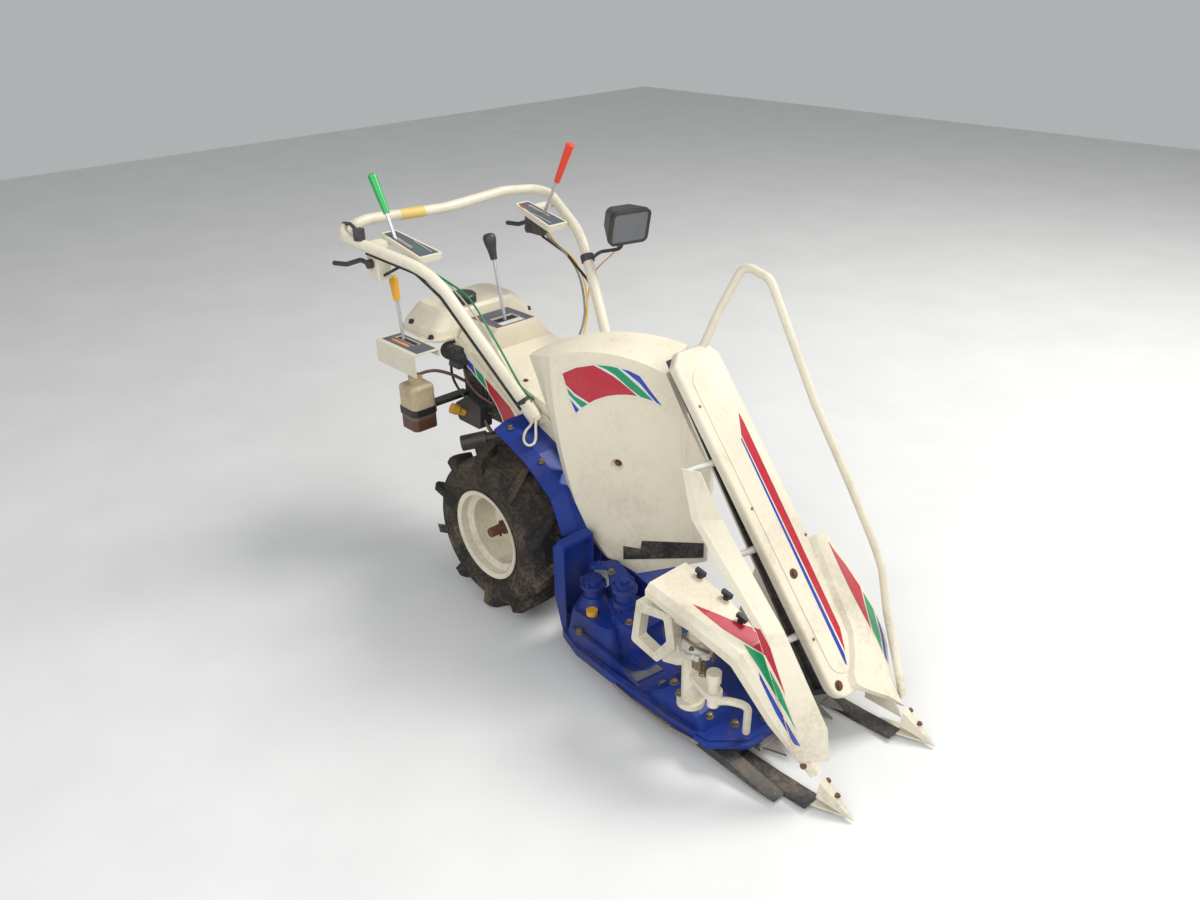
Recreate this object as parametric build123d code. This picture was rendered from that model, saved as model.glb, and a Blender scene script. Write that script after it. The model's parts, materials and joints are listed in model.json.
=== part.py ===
from build123d import *
from math import cos, sin, tan, radians
import os

# Walk-behind one-row reaper binder. Millimetres, +X forward, +Y to the machine's left, +Z up.
# X runs from the wheel axle, Y from the outer plane of the right rim, Z from the ground.
# MID_X and CENTRE_Y take that frame to the middle of the whole machine's box.

# Overall
CENTRE_Y = 285.0          # centre plane between the wheels and the handlebar
MID_X = 257.2             # middle of the length, rear bar to divider tips
TRACK = 426.0             # between the middle planes of the two wheels

# Wheels
TYRE_R = 207.0            # over the lugs
TYRE_W = 165.0
LUG_H = 19.0
LUG_W = 24.0
LUG_COUNT = 10            # on each side of the tread
RIM_W = 144.0
RIM_SEAT_R = 104.6
RIM_LIP = 8.9             # flange above the bead seat
RIM_WELL = 15.6           # well below the bead seat
RIM_T = 3.0
BEAD_FIT = 0.4
DISC_IN = 80.0            # depth of the wheel disc behind the outer rim plane
DISC_DISH = 12.0
HUB_R = 21.0
HUB_L = 62.0

# Axles and transmission
AXLE_R = 12.5
AXLE_FIT = 0.1
HUB_FIT = 0.05
STUB_R = 12.0             # turned-down outer end that takes a wheel hub extension
STUB_L = 26.0
STUB_IN = 14.0            # its end inside the outer rim plane
COLLAR_W = 8.0
BOSS_R = 30.0
CASE_W = 190.0            # across the transmission case
PLATE_T = 4.0

# Engine, tank and hood
ENG_X0, ENG_X1 = -330.0, -97.0
ENG_Y0, ENG_Y1 = 170.0, 400.0
ENG_Z0, ENG_Z1 = 372.0, 560.0
TANK_X0, TANK_X1 = -502.0, -326.0
TANK_HALF = 160.0         # half its width at the flange
TANK_TOP_HALF = 112.0
TANK_Z0, TANK_Z1 = 574.0, 646.0
TANK_LIP = 8.0
CAP_X, CAP_Y, CAP_R, CAP_H = -372.0, 247.0, 35.0, 22.0
HOOD_HALF = 115.0
HOOD_T = 3.0
GATE_Z = 622.0
GATE_X0, GATE_X1 = -322.0, -194.0
GATE_HALF = 68.0
GATE_T = 1.6

# Handlebar: x, distance from the centre plane, z
BAR_R = 13.6
BAR_LOW = (27.0, 136.0, TYRE_R + 271.0)
BAR_KNEE = (-205.0, 232.0, 802.0)
BAR_CORNER = (-462.0, 330.0, 868.0)
BAR_REAR = (-502.0, 215.0, 874.0)
BAR_MID = (-474.0, 0.0, 869.0)
BAR_BENDS = [190.0, 52.0, 90.0, 200.0]
CLAMP_T = 4.0
CLAMP_FIT = 0.05

# Consoles and levers
CONSOLE_X0, CONSOLE_X1 = -422.0, -256.0
CONSOLE_OUT = 230.0       # outer edge from the centre plane
CONSOLE_REAR_W, CONSOLE_FRONT_W = 44.0, 66.0
CONSOLE_FRONT_Z = 812.0
CONSOLE_RISE = 10.5       # slope up to the rear, degrees
CONSOLE_T = 15.0
LEVER_R = 4.5
GRIP_R = 11.5

# Fenders
WHEEL_GAP = 14.0          # least running gap over a wheel
FENDER_T = 3.0
FENDER_OUT = 62.0         # outer edge of the right fender
FENDER_RIDGE = 38.0       # width of the sloping outer strip
FENDER_RISE = 12.0
FENDER_IN = 160.0
FENDER_BOLT = 54.0        # angle of its front bolt about the wheel axis
FENDER_BOLT_UP = 28.5     # bolt above the tread

# Binder cover
COVER_AT = (180.0, 100.0, 0.0)
COVER_TURN = 28.0
COVER_DEPTH = 96.0
COVER_BEVEL = 18.0
COVER_LOW_DEPTH = 42.0
COVER_FOOT_DEPTH = 14.0
COVER_WALL = 3.0

# Header deck
DECK_Z = 38.0
DECK_T = 14.0
DECK_RIM = 7.0
SKID_T = 8.0
DECK_TOP = DECK_Z + DECK_T

# Pickup case
CASE_TILT = 37.6          # lean of the case behind the vertical
PICK_Y0 = 198.0
PICK_Y1 = 332.0
PICK_TOP = (414.0, 728.0)
PICK_LEN = 776.0
PICK_COVER_T = 20.0
CHANNEL_TOP_T = 7.0
CHANNEL_LOW_T = 44.0
CHANNEL_IN = 8.0
TINE_R = 8.5
TINE_L = 88.0
TINE_COUNT = 3
TINE_PITCH = 194.0
TINE_FIRST = 236.0

# Knotter
KNOT_COLUMN = (663.0, 10.0)
KNOT_DISC = (677.0, 8.0)
KNOT_PIVOT = (738.0, -9.0)
DISC_R = 40.0
DISC_Z0, DISC_Z1 = 238.0, 250.0
PIVOT_R = 12.0
PIVOT_FIT = 0.05

# Guide hoop and cables
HOOP_R = 9.0
CABLE_R = 3.5
CABLE_GAP = 0.2           # cable to the bar it is clipped on

PARTS = {}


def put(name, *shapes):
    """Keep a node's solids under its name."""
    PARTS[name] = Compound([solid for shape in shapes for solid in shape.solids()])


def other_side(shape):
    """The same piece on the other side of the machine's centre plane."""
    return mirror(shape, about=Plane(origin=(0, CENTRE_Y, 0), z_dir=(0, 1, 0)))


def side_y(distance, side):
    return CENTRE_Y + side * distance


def rod(start, end, radius):
    """A round bar between two points."""
    start, end = Vector(*start), Vector(*end)
    run = end - start
    return extrude(Plane(start, z_dir=run) * Circle(radius), run.length)


def cone(start, end, r0, r1):
    start, end = Vector(*start), Vector(*end)
    run = end - start
    plane = Plane(start, z_dir=run)
    return plane * Cone(r0, r1, run.length, align=(Align.CENTER, Align.CENTER, Align.MIN))


def post(x, y, z0, z1, radius):
    """An upright round bar."""
    return rod((x, y, z0), (x, y, z1), radius)


def pipe(points, radius, bends):
    """A round tube or cable along straight runs joined by tangent arcs."""
    path = FilletPolyline(*points, radius=bends)
    start = Plane(origin=path @ 0, z_dir=path % 0)
    return sweep(start * Circle(radius), path=path)


def rounded(points, radius):
    """A flat outline with its corners rounded."""
    face = make_face(Polyline(*points, close=True))
    return fillet(face.vertices(), radius) if radius else face


def side_plane(y):
    return Plane(origin=(0, y, 0), x_dir=(1, 0, 0), z_dir=(0, -1, 0))


def side_prism(points_xz, y0, y1, radius=0.0):
    """An outline in the side view (x, z), from y0 to y1."""
    face = side_plane(y0) * rounded(points_xz, radius)
    return extrude(face, -(y1 - y0))


def top_prism(points_xy, z0, z1, radius=0.0):
    """An outline in the plan view (x, y), from z0 up to z1."""
    return extrude(Pos(0, 0, z0) * rounded(points_xy, radius), z1 - z0)


def box(x0, x1, y0, y1, z0, z1):
    return Pos((x0 + x1) / 2, (y0 + y1) / 2, (z0 + z1) / 2) * Box(x1 - x0, y1 - y0, z1 - z0)


def ruled(sections):
    """A straight-sided solid through flat outlines given as lists of points in space."""
    return loft([make_face(Polyline(*points, close=True)) for points in sections], ruled=True)


def inner_line(points, wall):
    """An open flat line set back by a wall to its left."""
    moved = []
    for i, (x, y) in enumerate(points):
        legs = [(points[j], points[j + 1]) for j in (i - 1, i) if 0 <= j < len(points) - 1]
        normals = []
        for (ax, ay), (bx, by) in legs:
            length = ((bx - ax) ** 2 + (by - ay) ** 2) ** 0.5
            normals.append((-(by - ay) / length, (bx - ax) / length))
        nx = sum(n[0] for n in normals) / len(normals)
        ny = sum(n[1] for n in normals) / len(normals)
        scale = wall / (nx * nx + ny * ny)
        moved.append((x + nx * scale, y + ny * scale))
    return moved


# Wheels
def turned(points):
    """An outline of (radius, across) turned about the wheel's own axis, Y."""
    return revolve(make_face(Polyline(*points, close=True)), Axis.Y)


def make_tyre():
    half = TYRE_W / 2
    tread_r = TYRE_R - LUG_H
    bead_r = RIM_SEAT_R + BEAD_FIT
    side = RIM_W / 2 - 7
    swell_r = (bead_r + tread_r) / 2
    right_wall = [(bead_r, -side), (bead_r + 9, -side), (swell_r - 12, -half + 3), (swell_r + 14, -half),
                  (tread_r - 8, -half + 14), (tread_r - 1, -half + 44)]
    left_wall = [(r, -y) for r, y in reversed(right_wall)]
    carcass = turned(right_wall + left_wall)
    envelope = turned([(tread_r - 30, -half + 6), (TYRE_R - 9, -half + 1), (TYRE_R, -half + 16),
                       (TYRE_R, half - 16), (TYRE_R - 9, half - 1), (tread_r - 30, half - 6)])
    lugs = []
    for hand in (-1, 1):
        # footprint of one bar lug on the flat tread: across, along
        foot = [(hand * half, -LUG_W * 0.75), (hand * half, LUG_W * 0.25),
                (-hand * 6, 46 + LUG_W * 0.3), (-hand * 10, 46 - LUG_W * 0.3)]
        plane = Plane(origin=(0, 0, tread_r - 38), x_dir=(0, 1, 0), z_dir=(0, 0, 1))
        bar = extrude(plane * make_face(Polyline(*foot, close=True)), 70) & envelope
        half_step = 0.5 if hand > 0 else 0.0
        lugs += [bar.rotate(Axis.Y, 360.0 / LUG_COUNT * (i + half_step)) for i in range(LUG_COUNT)]
    return carcass.fuse(*lugs)


def make_rim():
    w = RIM_W / 2
    lip_r, well_r = RIM_SEAT_R + RIM_LIP, RIM_SEAT_R - RIM_WELL
    outside = [(lip_r, w), (lip_r, w - 3), (RIM_SEAT_R, w - 6), (RIM_SEAT_R, w - 24), (well_r, w - 32)]
    inside = [(well_r - RIM_T, w - 30), (RIM_SEAT_R - RIM_T, w - 22), (RIM_SEAT_R - RIM_T, w - 3)]
    barrel = turned([(r, -y) for r, y in outside] + outside[::-1]
                    + inside[::-1] + [(r, -y) for r, y in inside])
    d = -w + DISC_IN
    edge = well_r - RIM_T + 0.5
    disc = turned([(HUB_R - 1, d), (64, d), (edge, d + DISC_DISH), (edge, d + DISC_DISH + 4),
                   (62, d + 4), (HUB_R - 1, d + 4)])
    bore = AXLE_R + HUB_FIT
    hub = turned([(bore, d - 20), (HUB_R, d - 20), (HUB_R, d - 20 + HUB_L), (bore, d - 20 + HUB_L)])
    slot = rod((44, d - 10, -52), (44, d + 12, -52), 9) + box(38, 50, d - 10, d + 12, -74, -52)
    return barrel + disc + hub - slot


def make_axle(inner_end):
    """Axle shaft in wheel coordinates, from the turned-down outer end to inside the case's boss."""
    outer = -RIM_W / 2 + STUB_IN
    shoulder = outer + STUB_L
    stub = chamfer(rod((0, outer, 0), (0, shoulder + 1, 0), STUB_R).edges().sort_by(Axis.Y)[0], 1.0)
    shaft = rod((0, shoulder, 0), (0, inner_end, 0), AXLE_R)
    hub_at = -RIM_W / 2 + DISC_IN - 20
    collar = rod((0, hub_at - COLLAR_W, 0), (0, hub_at, 0), AXLE_R + 5)
    pin = rod((0, shoulder + 5, -AXLE_R - 8), (0, shoulder + 5, AXLE_R + 8), 3.2)
    return shaft + stub + collar + pin


RIGHT_MID = CENTRE_Y - TRACK / 2
CASE_Y0 = CENTRE_Y - CASE_W / 2
wheel_pieces = [("tyre", make_tyre()), ("rim", make_rim()), ("axle", make_axle(CASE_Y0 - RIGHT_MID + 45))]
for piece, shape in wheel_pieces:
    placed = Pos(0, RIGHT_MID, TYRE_R) * shape
    put(f"right_{piece}", placed)
    put(f"left_{piece}", other_side(placed))

# Transmission case and the frame between it and the header
BOSS_END = RIGHT_MID - RIM_W / 2 + DISC_IN - 20 + HUB_L + 6
gear_profile = [(-70, 165), (20, 132), (78, 165), (112, 300), (96, ENG_Z0), (-60, ENG_Z0), (-96, 300)]
transmission = fillet(side_prism(gear_profile, CASE_Y0, CASE_Y0 + CASE_W, 16).faces()
                      .sort_by(Axis.Y)[0].edges(), 6)
for side in (-1, 1):
    inner, outer = side_y(CASE_W / 2 - 1, side), side_y(CENTRE_Y - BOSS_END, side)
    bore_in, bore_out = side_y(CASE_W / 2 - 60, side), side_y(CENTRE_Y - BOSS_END + 5, side)
    transmission += rod((0, inner, TYRE_R), (0, outer, TYRE_R), BOSS_R)
    transmission -= rod((0, bore_in, TYRE_R), (0, bore_out, TYRE_R), AXLE_R + AXLE_FIT)
put("transmission_case", transmission)

plate_profile = [(-120, 300), (40, 250), (110, 140), (200, 120), (206, 190), (165, 300), (162, 420),
                 (120, 450), (20, 450), (-40, ENG_Z0), (-120, 360)]
right_plate = side_prism(plate_profile, CASE_Y0 - PLATE_T, CASE_Y0, 12)
right_plate -= rod((0, CASE_Y0 - 20, TYRE_R), (0, CASE_Y0 + 20, TYRE_R), BOSS_R + 1)
BEAM_Y0, BEAM_Y1 = CENTRE_Y - 60, CENTRE_Y + 40
beam = side_prism([(70, 150), (100, 236), (180, 160), (260, 132), (420, 96), (420, DECK_TOP), (250, 62),
                   (120, 128)], BEAM_Y0, BEAM_Y1)
MOUNT_Z = ENG_Z0 + 8
base_plate = box(ENG_X0 + 10, 90, ENG_Y0 + 40, ENG_Y1 - 25, ENG_Z0, MOUNT_Z)
put("main_frame", right_plate, other_side(right_plate), beam, base_plate)

# Engine under the hood, with its starter cover on the left
BLOCK_Y0, BLOCK_Y1 = ENG_Y0 + 30, ENG_Y1 - 40
block = side_prism([(ENG_X0 + 30, MOUNT_Z), (ENG_X1 - 6, MOUNT_Z), (ENG_X1 - 6, ENG_Z0 + 70),
                    (ENG_X1 - 60, ENG_Z1 - 40), (ENG_X0 + 70, ENG_Z1 - 14), (ENG_X0 + 4, ENG_Z1 - 60),
                    (ENG_X0 + 4, ENG_Z0 + 40)], BLOCK_Y0, BLOCK_Y1, 10)
sump = side_prism([(ENG_X0 + 14, ENG_Z0 - 14), (ENG_X0 + 110, ENG_Z0 - 14), (ENG_X0 + 116, ENG_Z0 + 52),
                   (ENG_X0 + 60, ENG_Z0 + 66), (ENG_X0 + 4, ENG_Z0 + 30)], ENG_Y0 - 6, BLOCK_Y0 + 1, 10)
STARTER_X, STARTER_Z, STARTER_R = ENG_X0 + 105, ENG_Z0 + 96, 84.0
STARTER_Y = ENG_Y1 + 8


def starter_disc(y0, y1, radius):
    return rod((STARTER_X, y0, STARTER_Z), (STARTER_X, y1, STARTER_Z), radius)


starter = starter_disc(BLOCK_Y1, STARTER_Y, STARTER_R)
for ring_r in (66, 50, 34):
    starter -= starter_disc(STARTER_Y - 5, STARTER_Y + 2, ring_r) - starter_disc(STARTER_Y - 6, STARTER_Y + 3,
                                                                                 ring_r - 7)
cleaner = box(ENG_X0 - 90, ENG_X0 + 20, CENTRE_Y - 70, CENTRE_Y + 60, ENG_Z1 - 70, TANK_Z0)
fins = [box(ENG_X0 - 2, ENG_X0 + 30, BLOCK_Y0 + 20, BLOCK_Y1 - 20, z, z + 4)
        for z in range(int(ENG_Z0) + 62, int(ENG_Z0) + 108, 12)]
put("engine_block", (block + sump + starter + cleaner).fuse(*fins))
DIP = Vector(ENG_X0 + 44, ENG_Y0 - 6, ENG_Z0 + 14)
DIP_UP = Vector(-0.24, -0.82, 0.52)
dipstick = rod(DIP, DIP + DIP_UP * 24, 9) + rod(DIP + DIP_UP * 22, DIP + DIP_UP * 40, 14)
outlet = rod((-290, 150, 300), (-245, 200, 314), 21) - rod((-291, 148.9, 299.7), (-262, 181, 308.7), 16)
elbow = pipe([(-250, 194.5, 312.4), (-200, 250, 328), (-160, 262, 340), (-156, 265, ENG_Z0)], 15, [40, 12])
put("exhaust_pipe", outlet + elbow)

# Fuel tank and its cap
TANK_MID = (TANK_X0 + TANK_X1) / 2
tank = loft([
    Pos(TANK_MID, CENTRE_Y, TANK_Z0) * RectangleRounded(TANK_X1 - TANK_X0, TANK_HALF * 2, 34),
    Pos(TANK_MID, CENTRE_Y, TANK_Z0 + 26) * RectangleRounded(TANK_X1 - TANK_X0 - 4, TANK_HALF * 2 - 10, 34),
    Pos(TANK_MID + 4, CENTRE_Y, TANK_Z1 - 8) * RectangleRounded(TANK_X1 - TANK_X0 - 24, TANK_TOP_HALF * 2 + 20, 34),
    Pos(TANK_MID + 4, CENTRE_Y, TANK_Z1) * RectangleRounded(TANK_X1 - TANK_X0 - 44, TANK_TOP_HALF * 2, 28),
], ruled=True)
tank_lip = extrude(Pos(TANK_MID, CENTRE_Y, TANK_Z0 + 5) * RectangleRounded(
    TANK_X1 - TANK_X0 + TANK_LIP, TANK_HALF * 2 + TANK_LIP * 2, 36), 5)
put("fuel_tank", tank + tank_lip + post(CAP_X, CAP_Y, TANK_Z1 - 2, TANK_Z1 + 4, CAP_R - 6))
fuel_cap = post(CAP_X, CAP_Y, TANK_Z1 + 4, TANK_Z1 + 4 + CAP_H, CAP_R)
fuel_cap = chamfer(fuel_cap.faces().sort_by(Axis.Z)[-1].edges(), 4)
for i in range(12):
    a = radians(30 * i)
    gx, gy = CAP_X + (CAP_R + 1) * cos(a), CAP_Y + (CAP_R + 1) * sin(a)
    fuel_cap -= post(gx, gy, TANK_Z1 + 3, TANK_Z1 + CAP_H - 2, 3.2)
put("fuel_cap", fuel_cap)

# Hood with the raised box of the shift gate
HOOD_Y0, HOOD_Y1 = CENTRE_Y - HOOD_HALF, CENTRE_Y + HOOD_HALF
BOX_Z = TANK_Z0 - 8
hood_top = [(GATE_X0 + 2, BOX_Z), (-250, 556), (-30, 416), (62, 410), (98, 500), (-150, 554)]
hood = side_prism([*hood_top, (GATE_X1 - 6, BOX_Z)], HOOD_Y0, HOOD_Y1)
hood_hollow = [(GATE_X0 + 5, BOX_Z - 4), (GATE_X0 + 5, 520), (-250, 500), (-30, 380), (59, 380), (94, 497.5),
               (-151, 550.5), (GATE_X1 - 9, BOX_Z - 4)]
hood -= side_prism(hood_hollow, HOOD_Y0 + HOOD_T, HOOD_Y1 - HOOD_T)
GATE_MID = (GATE_X0 + GATE_X1) / 2
gate_box = loft([
    Pos(GATE_MID - 3, CENTRE_Y, BOX_Z - 1) * RectangleRounded(GATE_X1 - GATE_X0 - 6, HOOD_HALF * 2 - 8, 8),
    Pos(GATE_MID, CENTRE_Y, GATE_Z - 8) * RectangleRounded(GATE_X1 - GATE_X0, GATE_HALF * 2 + 12, 8),
    Pos(GATE_MID, CENTRE_Y, GATE_Z) * RectangleRounded(GATE_X1 - GATE_X0, GATE_HALF * 2, 6),
], ruled=True)
GATE_SLOT = (GATE_X0 + 54, GATE_X0 + 90, CENTRE_Y - 32, CENTRE_Y + 38)
slot = box(*GATE_SLOT, GATE_Z - 22, GATE_Z + 5)
pads = [rod((30, side_y(CASE_W / 2 + PLATE_T, side), 434), (30, side_y(HOOD_HALF - HOOD_T, side), 434), 8)
        for side in (-1, 1)]
starter_hole = starter_disc(ENG_Y1 - 30, ENG_Y1 + 20, STARTER_R + 4)
put("hood", hood + gate_box - slot - starter_hole, *pads)
put("shift_gate", box(GATE_X0 + 5, GATE_X1 - 5, CENTRE_Y - GATE_HALF + 5, CENTRE_Y + GATE_HALF - 5,
                      GATE_Z, GATE_Z + GATE_T) - slot)
boot_low = Plane(origin=(-300, HOOD_Y0 - 4, 516), x_dir=(1, 0, 0), z_dir=(0, -0.35, 1))
boot_top = Plane(origin=(-288, HOOD_Y0 - 14, 568), x_dir=(1, 0, 0), z_dir=(0, -0.35, 1))
boot = ruled([[boot_low.from_local_coords(Vector(x, y, 0)) for x, y in
               ((-24, -14), (20, -14), (30, -4), (30, 44), (-30, 44), (-30, -4))],
              [boot_top.from_local_coords(Vector(x, y, 0)) for x, y in
               ((-12, -9), (10, -9), (17, -2), (17, 9), (-17, 9), (-17, -2))]])
put("intake_boot", boot)

# Fenders, each with a bolted web, and the guard ahead of the right wheel
FENDER_LINE = [(94.6, 31), (66.0, 3), (39.5, 7), (16.5, 0)]      # angle, height over the running gap
RIDGE_Y = FENDER_OUT + FENDER_RIDGE


def fender_arc(rise):
    """Points along the fender, raised over its outer edge line."""
    line = []
    for angle, up in FENDER_LINE:
        r = TYRE_R + WHEEL_GAP + up + rise
        line.append((r * cos(radians(angle)), TYRE_R + r * sin(radians(angle))))
    return line


def fender_band(rise, thick):
    return fender_arc(rise) + fender_arc(rise + thick)[::-1]


outer_strip = ruled([[(x, FENDER_OUT, z) for x, z in fender_band(0, FENDER_T)],
                     [(x, RIDGE_Y, z) for x, z in fender_band(FENDER_RISE, FENDER_T)]])
top_strip = side_prism(fender_band(FENDER_RISE, FENDER_T), RIDGE_Y, FENDER_IN)
web = side_prism(fender_band(FENDER_RISE, 36), FENDER_IN - 3, FENDER_IN)
web -= box(-120, 90, FENDER_IN - 10, FENDER_IN + 10, 430, 520)
right_fender = outer_strip + top_strip + web
BOLT_R = TYRE_R + FENDER_BOLT_UP + 16
STRUT_T = 6.0


def round_axle(angle, r):
    """(x, z) at an angle and distance from the axle."""
    return (r * cos(radians(angle)), TYRE_R + r * sin(radians(angle)))


for angle in (FENDER_BOLT, FENDER_BOLT + 14):
    bx, bz = round_axle(angle, BOLT_R)
    right_fender += rod((bx, FENDER_IN - 1, bz), (bx, CASE_Y0 - PLATE_T, bz), 9)
GUARD_X0, GUARD_X1, GUARD_Y0, GUARD_Y1, GUARD_Z = 223.0, 264.0, 22.0, 112.0, 286.0
guard = side_prism([(GUARD_X0, 134), (GUARD_X0, GUARD_Z - 22), (GUARD_X0 + 18, GUARD_Z), (GUARD_X1, GUARD_Z - 6),
                    (GUARD_X1, DECK_TOP), (GUARD_X0 + 22, DECK_TOP)], GUARD_Y0, GUARD_Y1)
guard = fillet(guard.faces().sort_by(Axis.Y)[0].edges().filter_by(lambda e: e.center().X < GUARD_X1 - 1), 6)
tray = box(GUARD_X0 + 24, GUARD_X1 + 9, GUARD_Y0 + 4, GUARD_Y1 - 4, DECK_TOP + 40, GUARD_Z - 14)
guard -= fillet(tray.edges().filter_by(Axis.X), 10)
put("fenders", right_fender, other_side(right_fender), guard)


# Handlebar and the brackets that carry its lower ends
def bar_point(p, side):
    return (p[0], side_y(p[1], side), p[2])


def bar_at(t, side):
    """A point on the straight grip run of the handlebar, t from its knee to its corner."""
    a, b = Vector(*bar_point(BAR_KNEE, side)), Vector(*bar_point(BAR_CORNER, side))
    return a + (b - a) * t


def bar_at_x(x, side):
    return bar_at((x - BAR_KNEE[0]) / (BAR_CORNER[0] - BAR_KNEE[0]), side)


def lower_bar_at(t, side):
    """A point on the straight lower run, t from the knee to the lower end."""
    a, b = Vector(*bar_point(BAR_KNEE, side)), Vector(*bar_point(BAR_LOW, side))
    return a + (b - a) * t


half_bar = [BAR_LOW, BAR_KNEE, BAR_CORNER, BAR_REAR]
bar_points = [bar_point(p, -1) for p in half_bar] + [bar_point(BAR_MID, 1)]
bar_points += [bar_point(p, 1) for p in reversed(half_bar)]
put("handlebar", pipe(bar_points, BAR_R, BAR_BENDS + BAR_BENDS[:3][::-1]))


def clamp_ring(at, run, width):
    """A ring round the bar, centred at a point on it."""
    ring = rod(at - run * (width / 2), at + run * (width / 2), BAR_R + CLAMP_T)
    return ring - rod(at - run * width, at + run * width, BAR_R + CLAMP_FIT)


low = lower_bar_at(1, -1)
lower_run = (low - lower_bar_at(0, -1)).normalized()
bar_hole = rod(low - lower_run * 70, low, BAR_R + CLAMP_FIT)
socket = rod(low - lower_run * 34, low + lower_run * 8, BAR_R + CLAMP_T)
strut = side_prism([round_axle(49, BOLT_R + 12), round_axle(49, BOLT_R - 11), round_axle(68, BOLT_R - 12),
                    round_axle(85, BOLT_R - 8), (low.X - 14, low.Z - 10), (low.X - 14, low.Z + 8),
                    (low.X + 24, low.Z + 6), round_axle(66, BOLT_R + 16)], FENDER_IN, FENDER_IN + STRUT_T, 4)
ear = box(low.X - 12, low.X + 22, low.Y, FENDER_IN + STRUT_T, low.Z - 9, low.Z + 2)
bracket = socket + strut + ear - bar_hole
for angle in (FENDER_BOLT, FENDER_BOLT + 14):
    bx, bz = round_axle(angle, BOLT_R)
    bracket -= rod((bx, FENDER_IN - 1, bz), (bx, CASE_Y0, bz), 9)
put("handle_brackets", bracket, other_side(bracket))

# Consoles: tapered moulded boxes inboard of the grips, carried on arms from the bar
SLOPE = radians(CONSOLE_RISE)
CONSOLE_L = (CONSOLE_X1 - CONSOLE_X0) / cos(SLOPE)
console_plane = Plane(origin=(CONSOLE_X1, CENTRE_Y, CONSOLE_FRONT_Z), x_dir=(-cos(SLOPE), 0, sin(SLOPE)),
                      z_dir=(sin(SLOPE), 0, cos(SLOPE)))
ARM_AT, ARM_W, ARM_T = 142.0, 26.0, 8.0


def console_block(x0, x1, d0, d1, z0, z1, side):
    """A block on the console's plane: x to the rear, d from the centre plane, z up from its underside."""
    return console_plane * box(x0, x1, min(-side * d0, -side * d1), max(-side * d0, -side * d1), z0, z1)


def under_console(x):
    return CONSOLE_FRONT_Z + (CONSOLE_X1 - x) * tan(SLOPE)


SLOT_OUT = CONSOLE_OUT - 17


def make_console(side):
    outline = [(0, -side * CONSOLE_OUT), (CONSOLE_L, -side * CONSOLE_OUT),
               (CONSOLE_L, -side * (CONSOLE_OUT - CONSOLE_REAR_W)), (0, -side * (CONSOLE_OUT - CONSOLE_FRONT_W))]
    body = extrude(console_plane * rounded(outline, 8), CONSOLE_T)
    body -= console_block(60, 140, SLOT_OUT - 4, SLOT_OUT + 4, 5, CONSOLE_T + 5, side)
    arm_end = bar_at_x(CONSOLE_X1 - ARM_AT * cos(SLOPE), side)
    arm = console_block(ARM_AT - ARM_W / 2, ARM_AT + ARM_W / 2, CONSOLE_OUT - 12, abs(arm_end.Y - CENTRE_Y) - 3,
                        0, ARM_T, side)
    return body + arm


HOUSING_X0, HOUSING_X1, HOUSING_D0, HOUSING_D1, HOUSING_Z = -420.0, -372.0, 238.0, 276.0, 756.0
housing = box(HOUSING_X0, HOUSING_X1, CENTRE_Y - HOUSING_D1, CENTRE_Y - HOUSING_D0, HOUSING_Z,
              under_console(HOUSING_X0) - 1)
housing = fillet(housing.edges().filter_by(Axis.Z), 6)
put("lever_consoles", make_console(-1) + housing, make_console(1))


def lever(foot, neck, tip, grip_low_r):
    """A lever rod with its grip: rod solid, grip solid."""
    foot, neck, tip = Vector(*foot), Vector(*neck), Vector(*tip)
    run = (tip - neck).normalized()
    grip = cone(neck, tip - run * 4, grip_low_r, GRIP_R) + cone(tip - run * 4, tip, GRIP_R, GRIP_R - 4)
    return rod(foot, neck + run * 5, LEVER_R) - grip, grip


# foot, neck and tip of each hand lever: x, y, z
GREEN_Y = CENTRE_Y - SLOT_OUT
RED_Y = CENTRE_Y + SLOT_OUT
green_rod, green_grip = lever((-378, GREEN_Y, under_console(-378) + 6), (-408, GREEN_Y, 904),
                              (-458, GREEN_Y, 990), 8)
red_rod, red_grip = lever((-336, RED_Y, under_console(-336) + 6), (-296, RED_Y + 18, 924),
                          (-254, RED_Y + 34, 1024), 8)
SHIFT_Y = CENTRE_Y + 3
shift_foot = Vector(-247, SHIFT_Y, GATE_Z - 26)
shift_neck, shift_tip = Vector(-281, SHIFT_Y, 770), Vector(-298, SHIFT_Y, 834)
shift_run = (shift_tip - shift_neck).normalized()
knob = cone(shift_neck, shift_neck + shift_run * 44, 9, 13) + cone(shift_neck + shift_run * 44,
                                                                     shift_tip, 17, 14)
shift_rod = rod(shift_foot, shift_neck + shift_run * 5, LEVER_R) - knob
put("shift_knob", knob)
put("green_grip", green_grip)
put("red_grip", red_grip)

# Rear console: a folded sheet box on an arm from the tank's lip
REAR_X0, REAR_X1, REAR_Y0, REAR_Y1, REAR_Z, REAR_DROP = -438.0, -264.0, 16.0, 92.0, 590.0, 58.0
rear_console = box(REAR_X0, REAR_X1, REAR_Y0, REAR_Y1, REAR_Z - REAR_DROP, REAR_Z)
rear_console = fillet(rear_console.edges().filter_by(Axis.X).sort_by(Axis.Z)[-2:], 7)
rear_console -= box(REAR_X0 + 3, REAR_X1 + 5, REAR_Y0 + 3, REAR_Y1 - 3, REAR_Z - REAR_DROP - 5, REAR_Z - 3)
rear_console -= box(REAR_X0 - 5, REAR_X1 + 5, REAR_Y1 - 5, REAR_Y1 + 5, REAR_Z - REAR_DROP - 5, REAR_Z - 20)
rear_console -= box(REAR_X0 + 26, REAR_X0 + 112, REAR_Y0 + 44, REAR_Y0 + 60, REAR_Z - 10, REAR_Z + 5)
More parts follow.
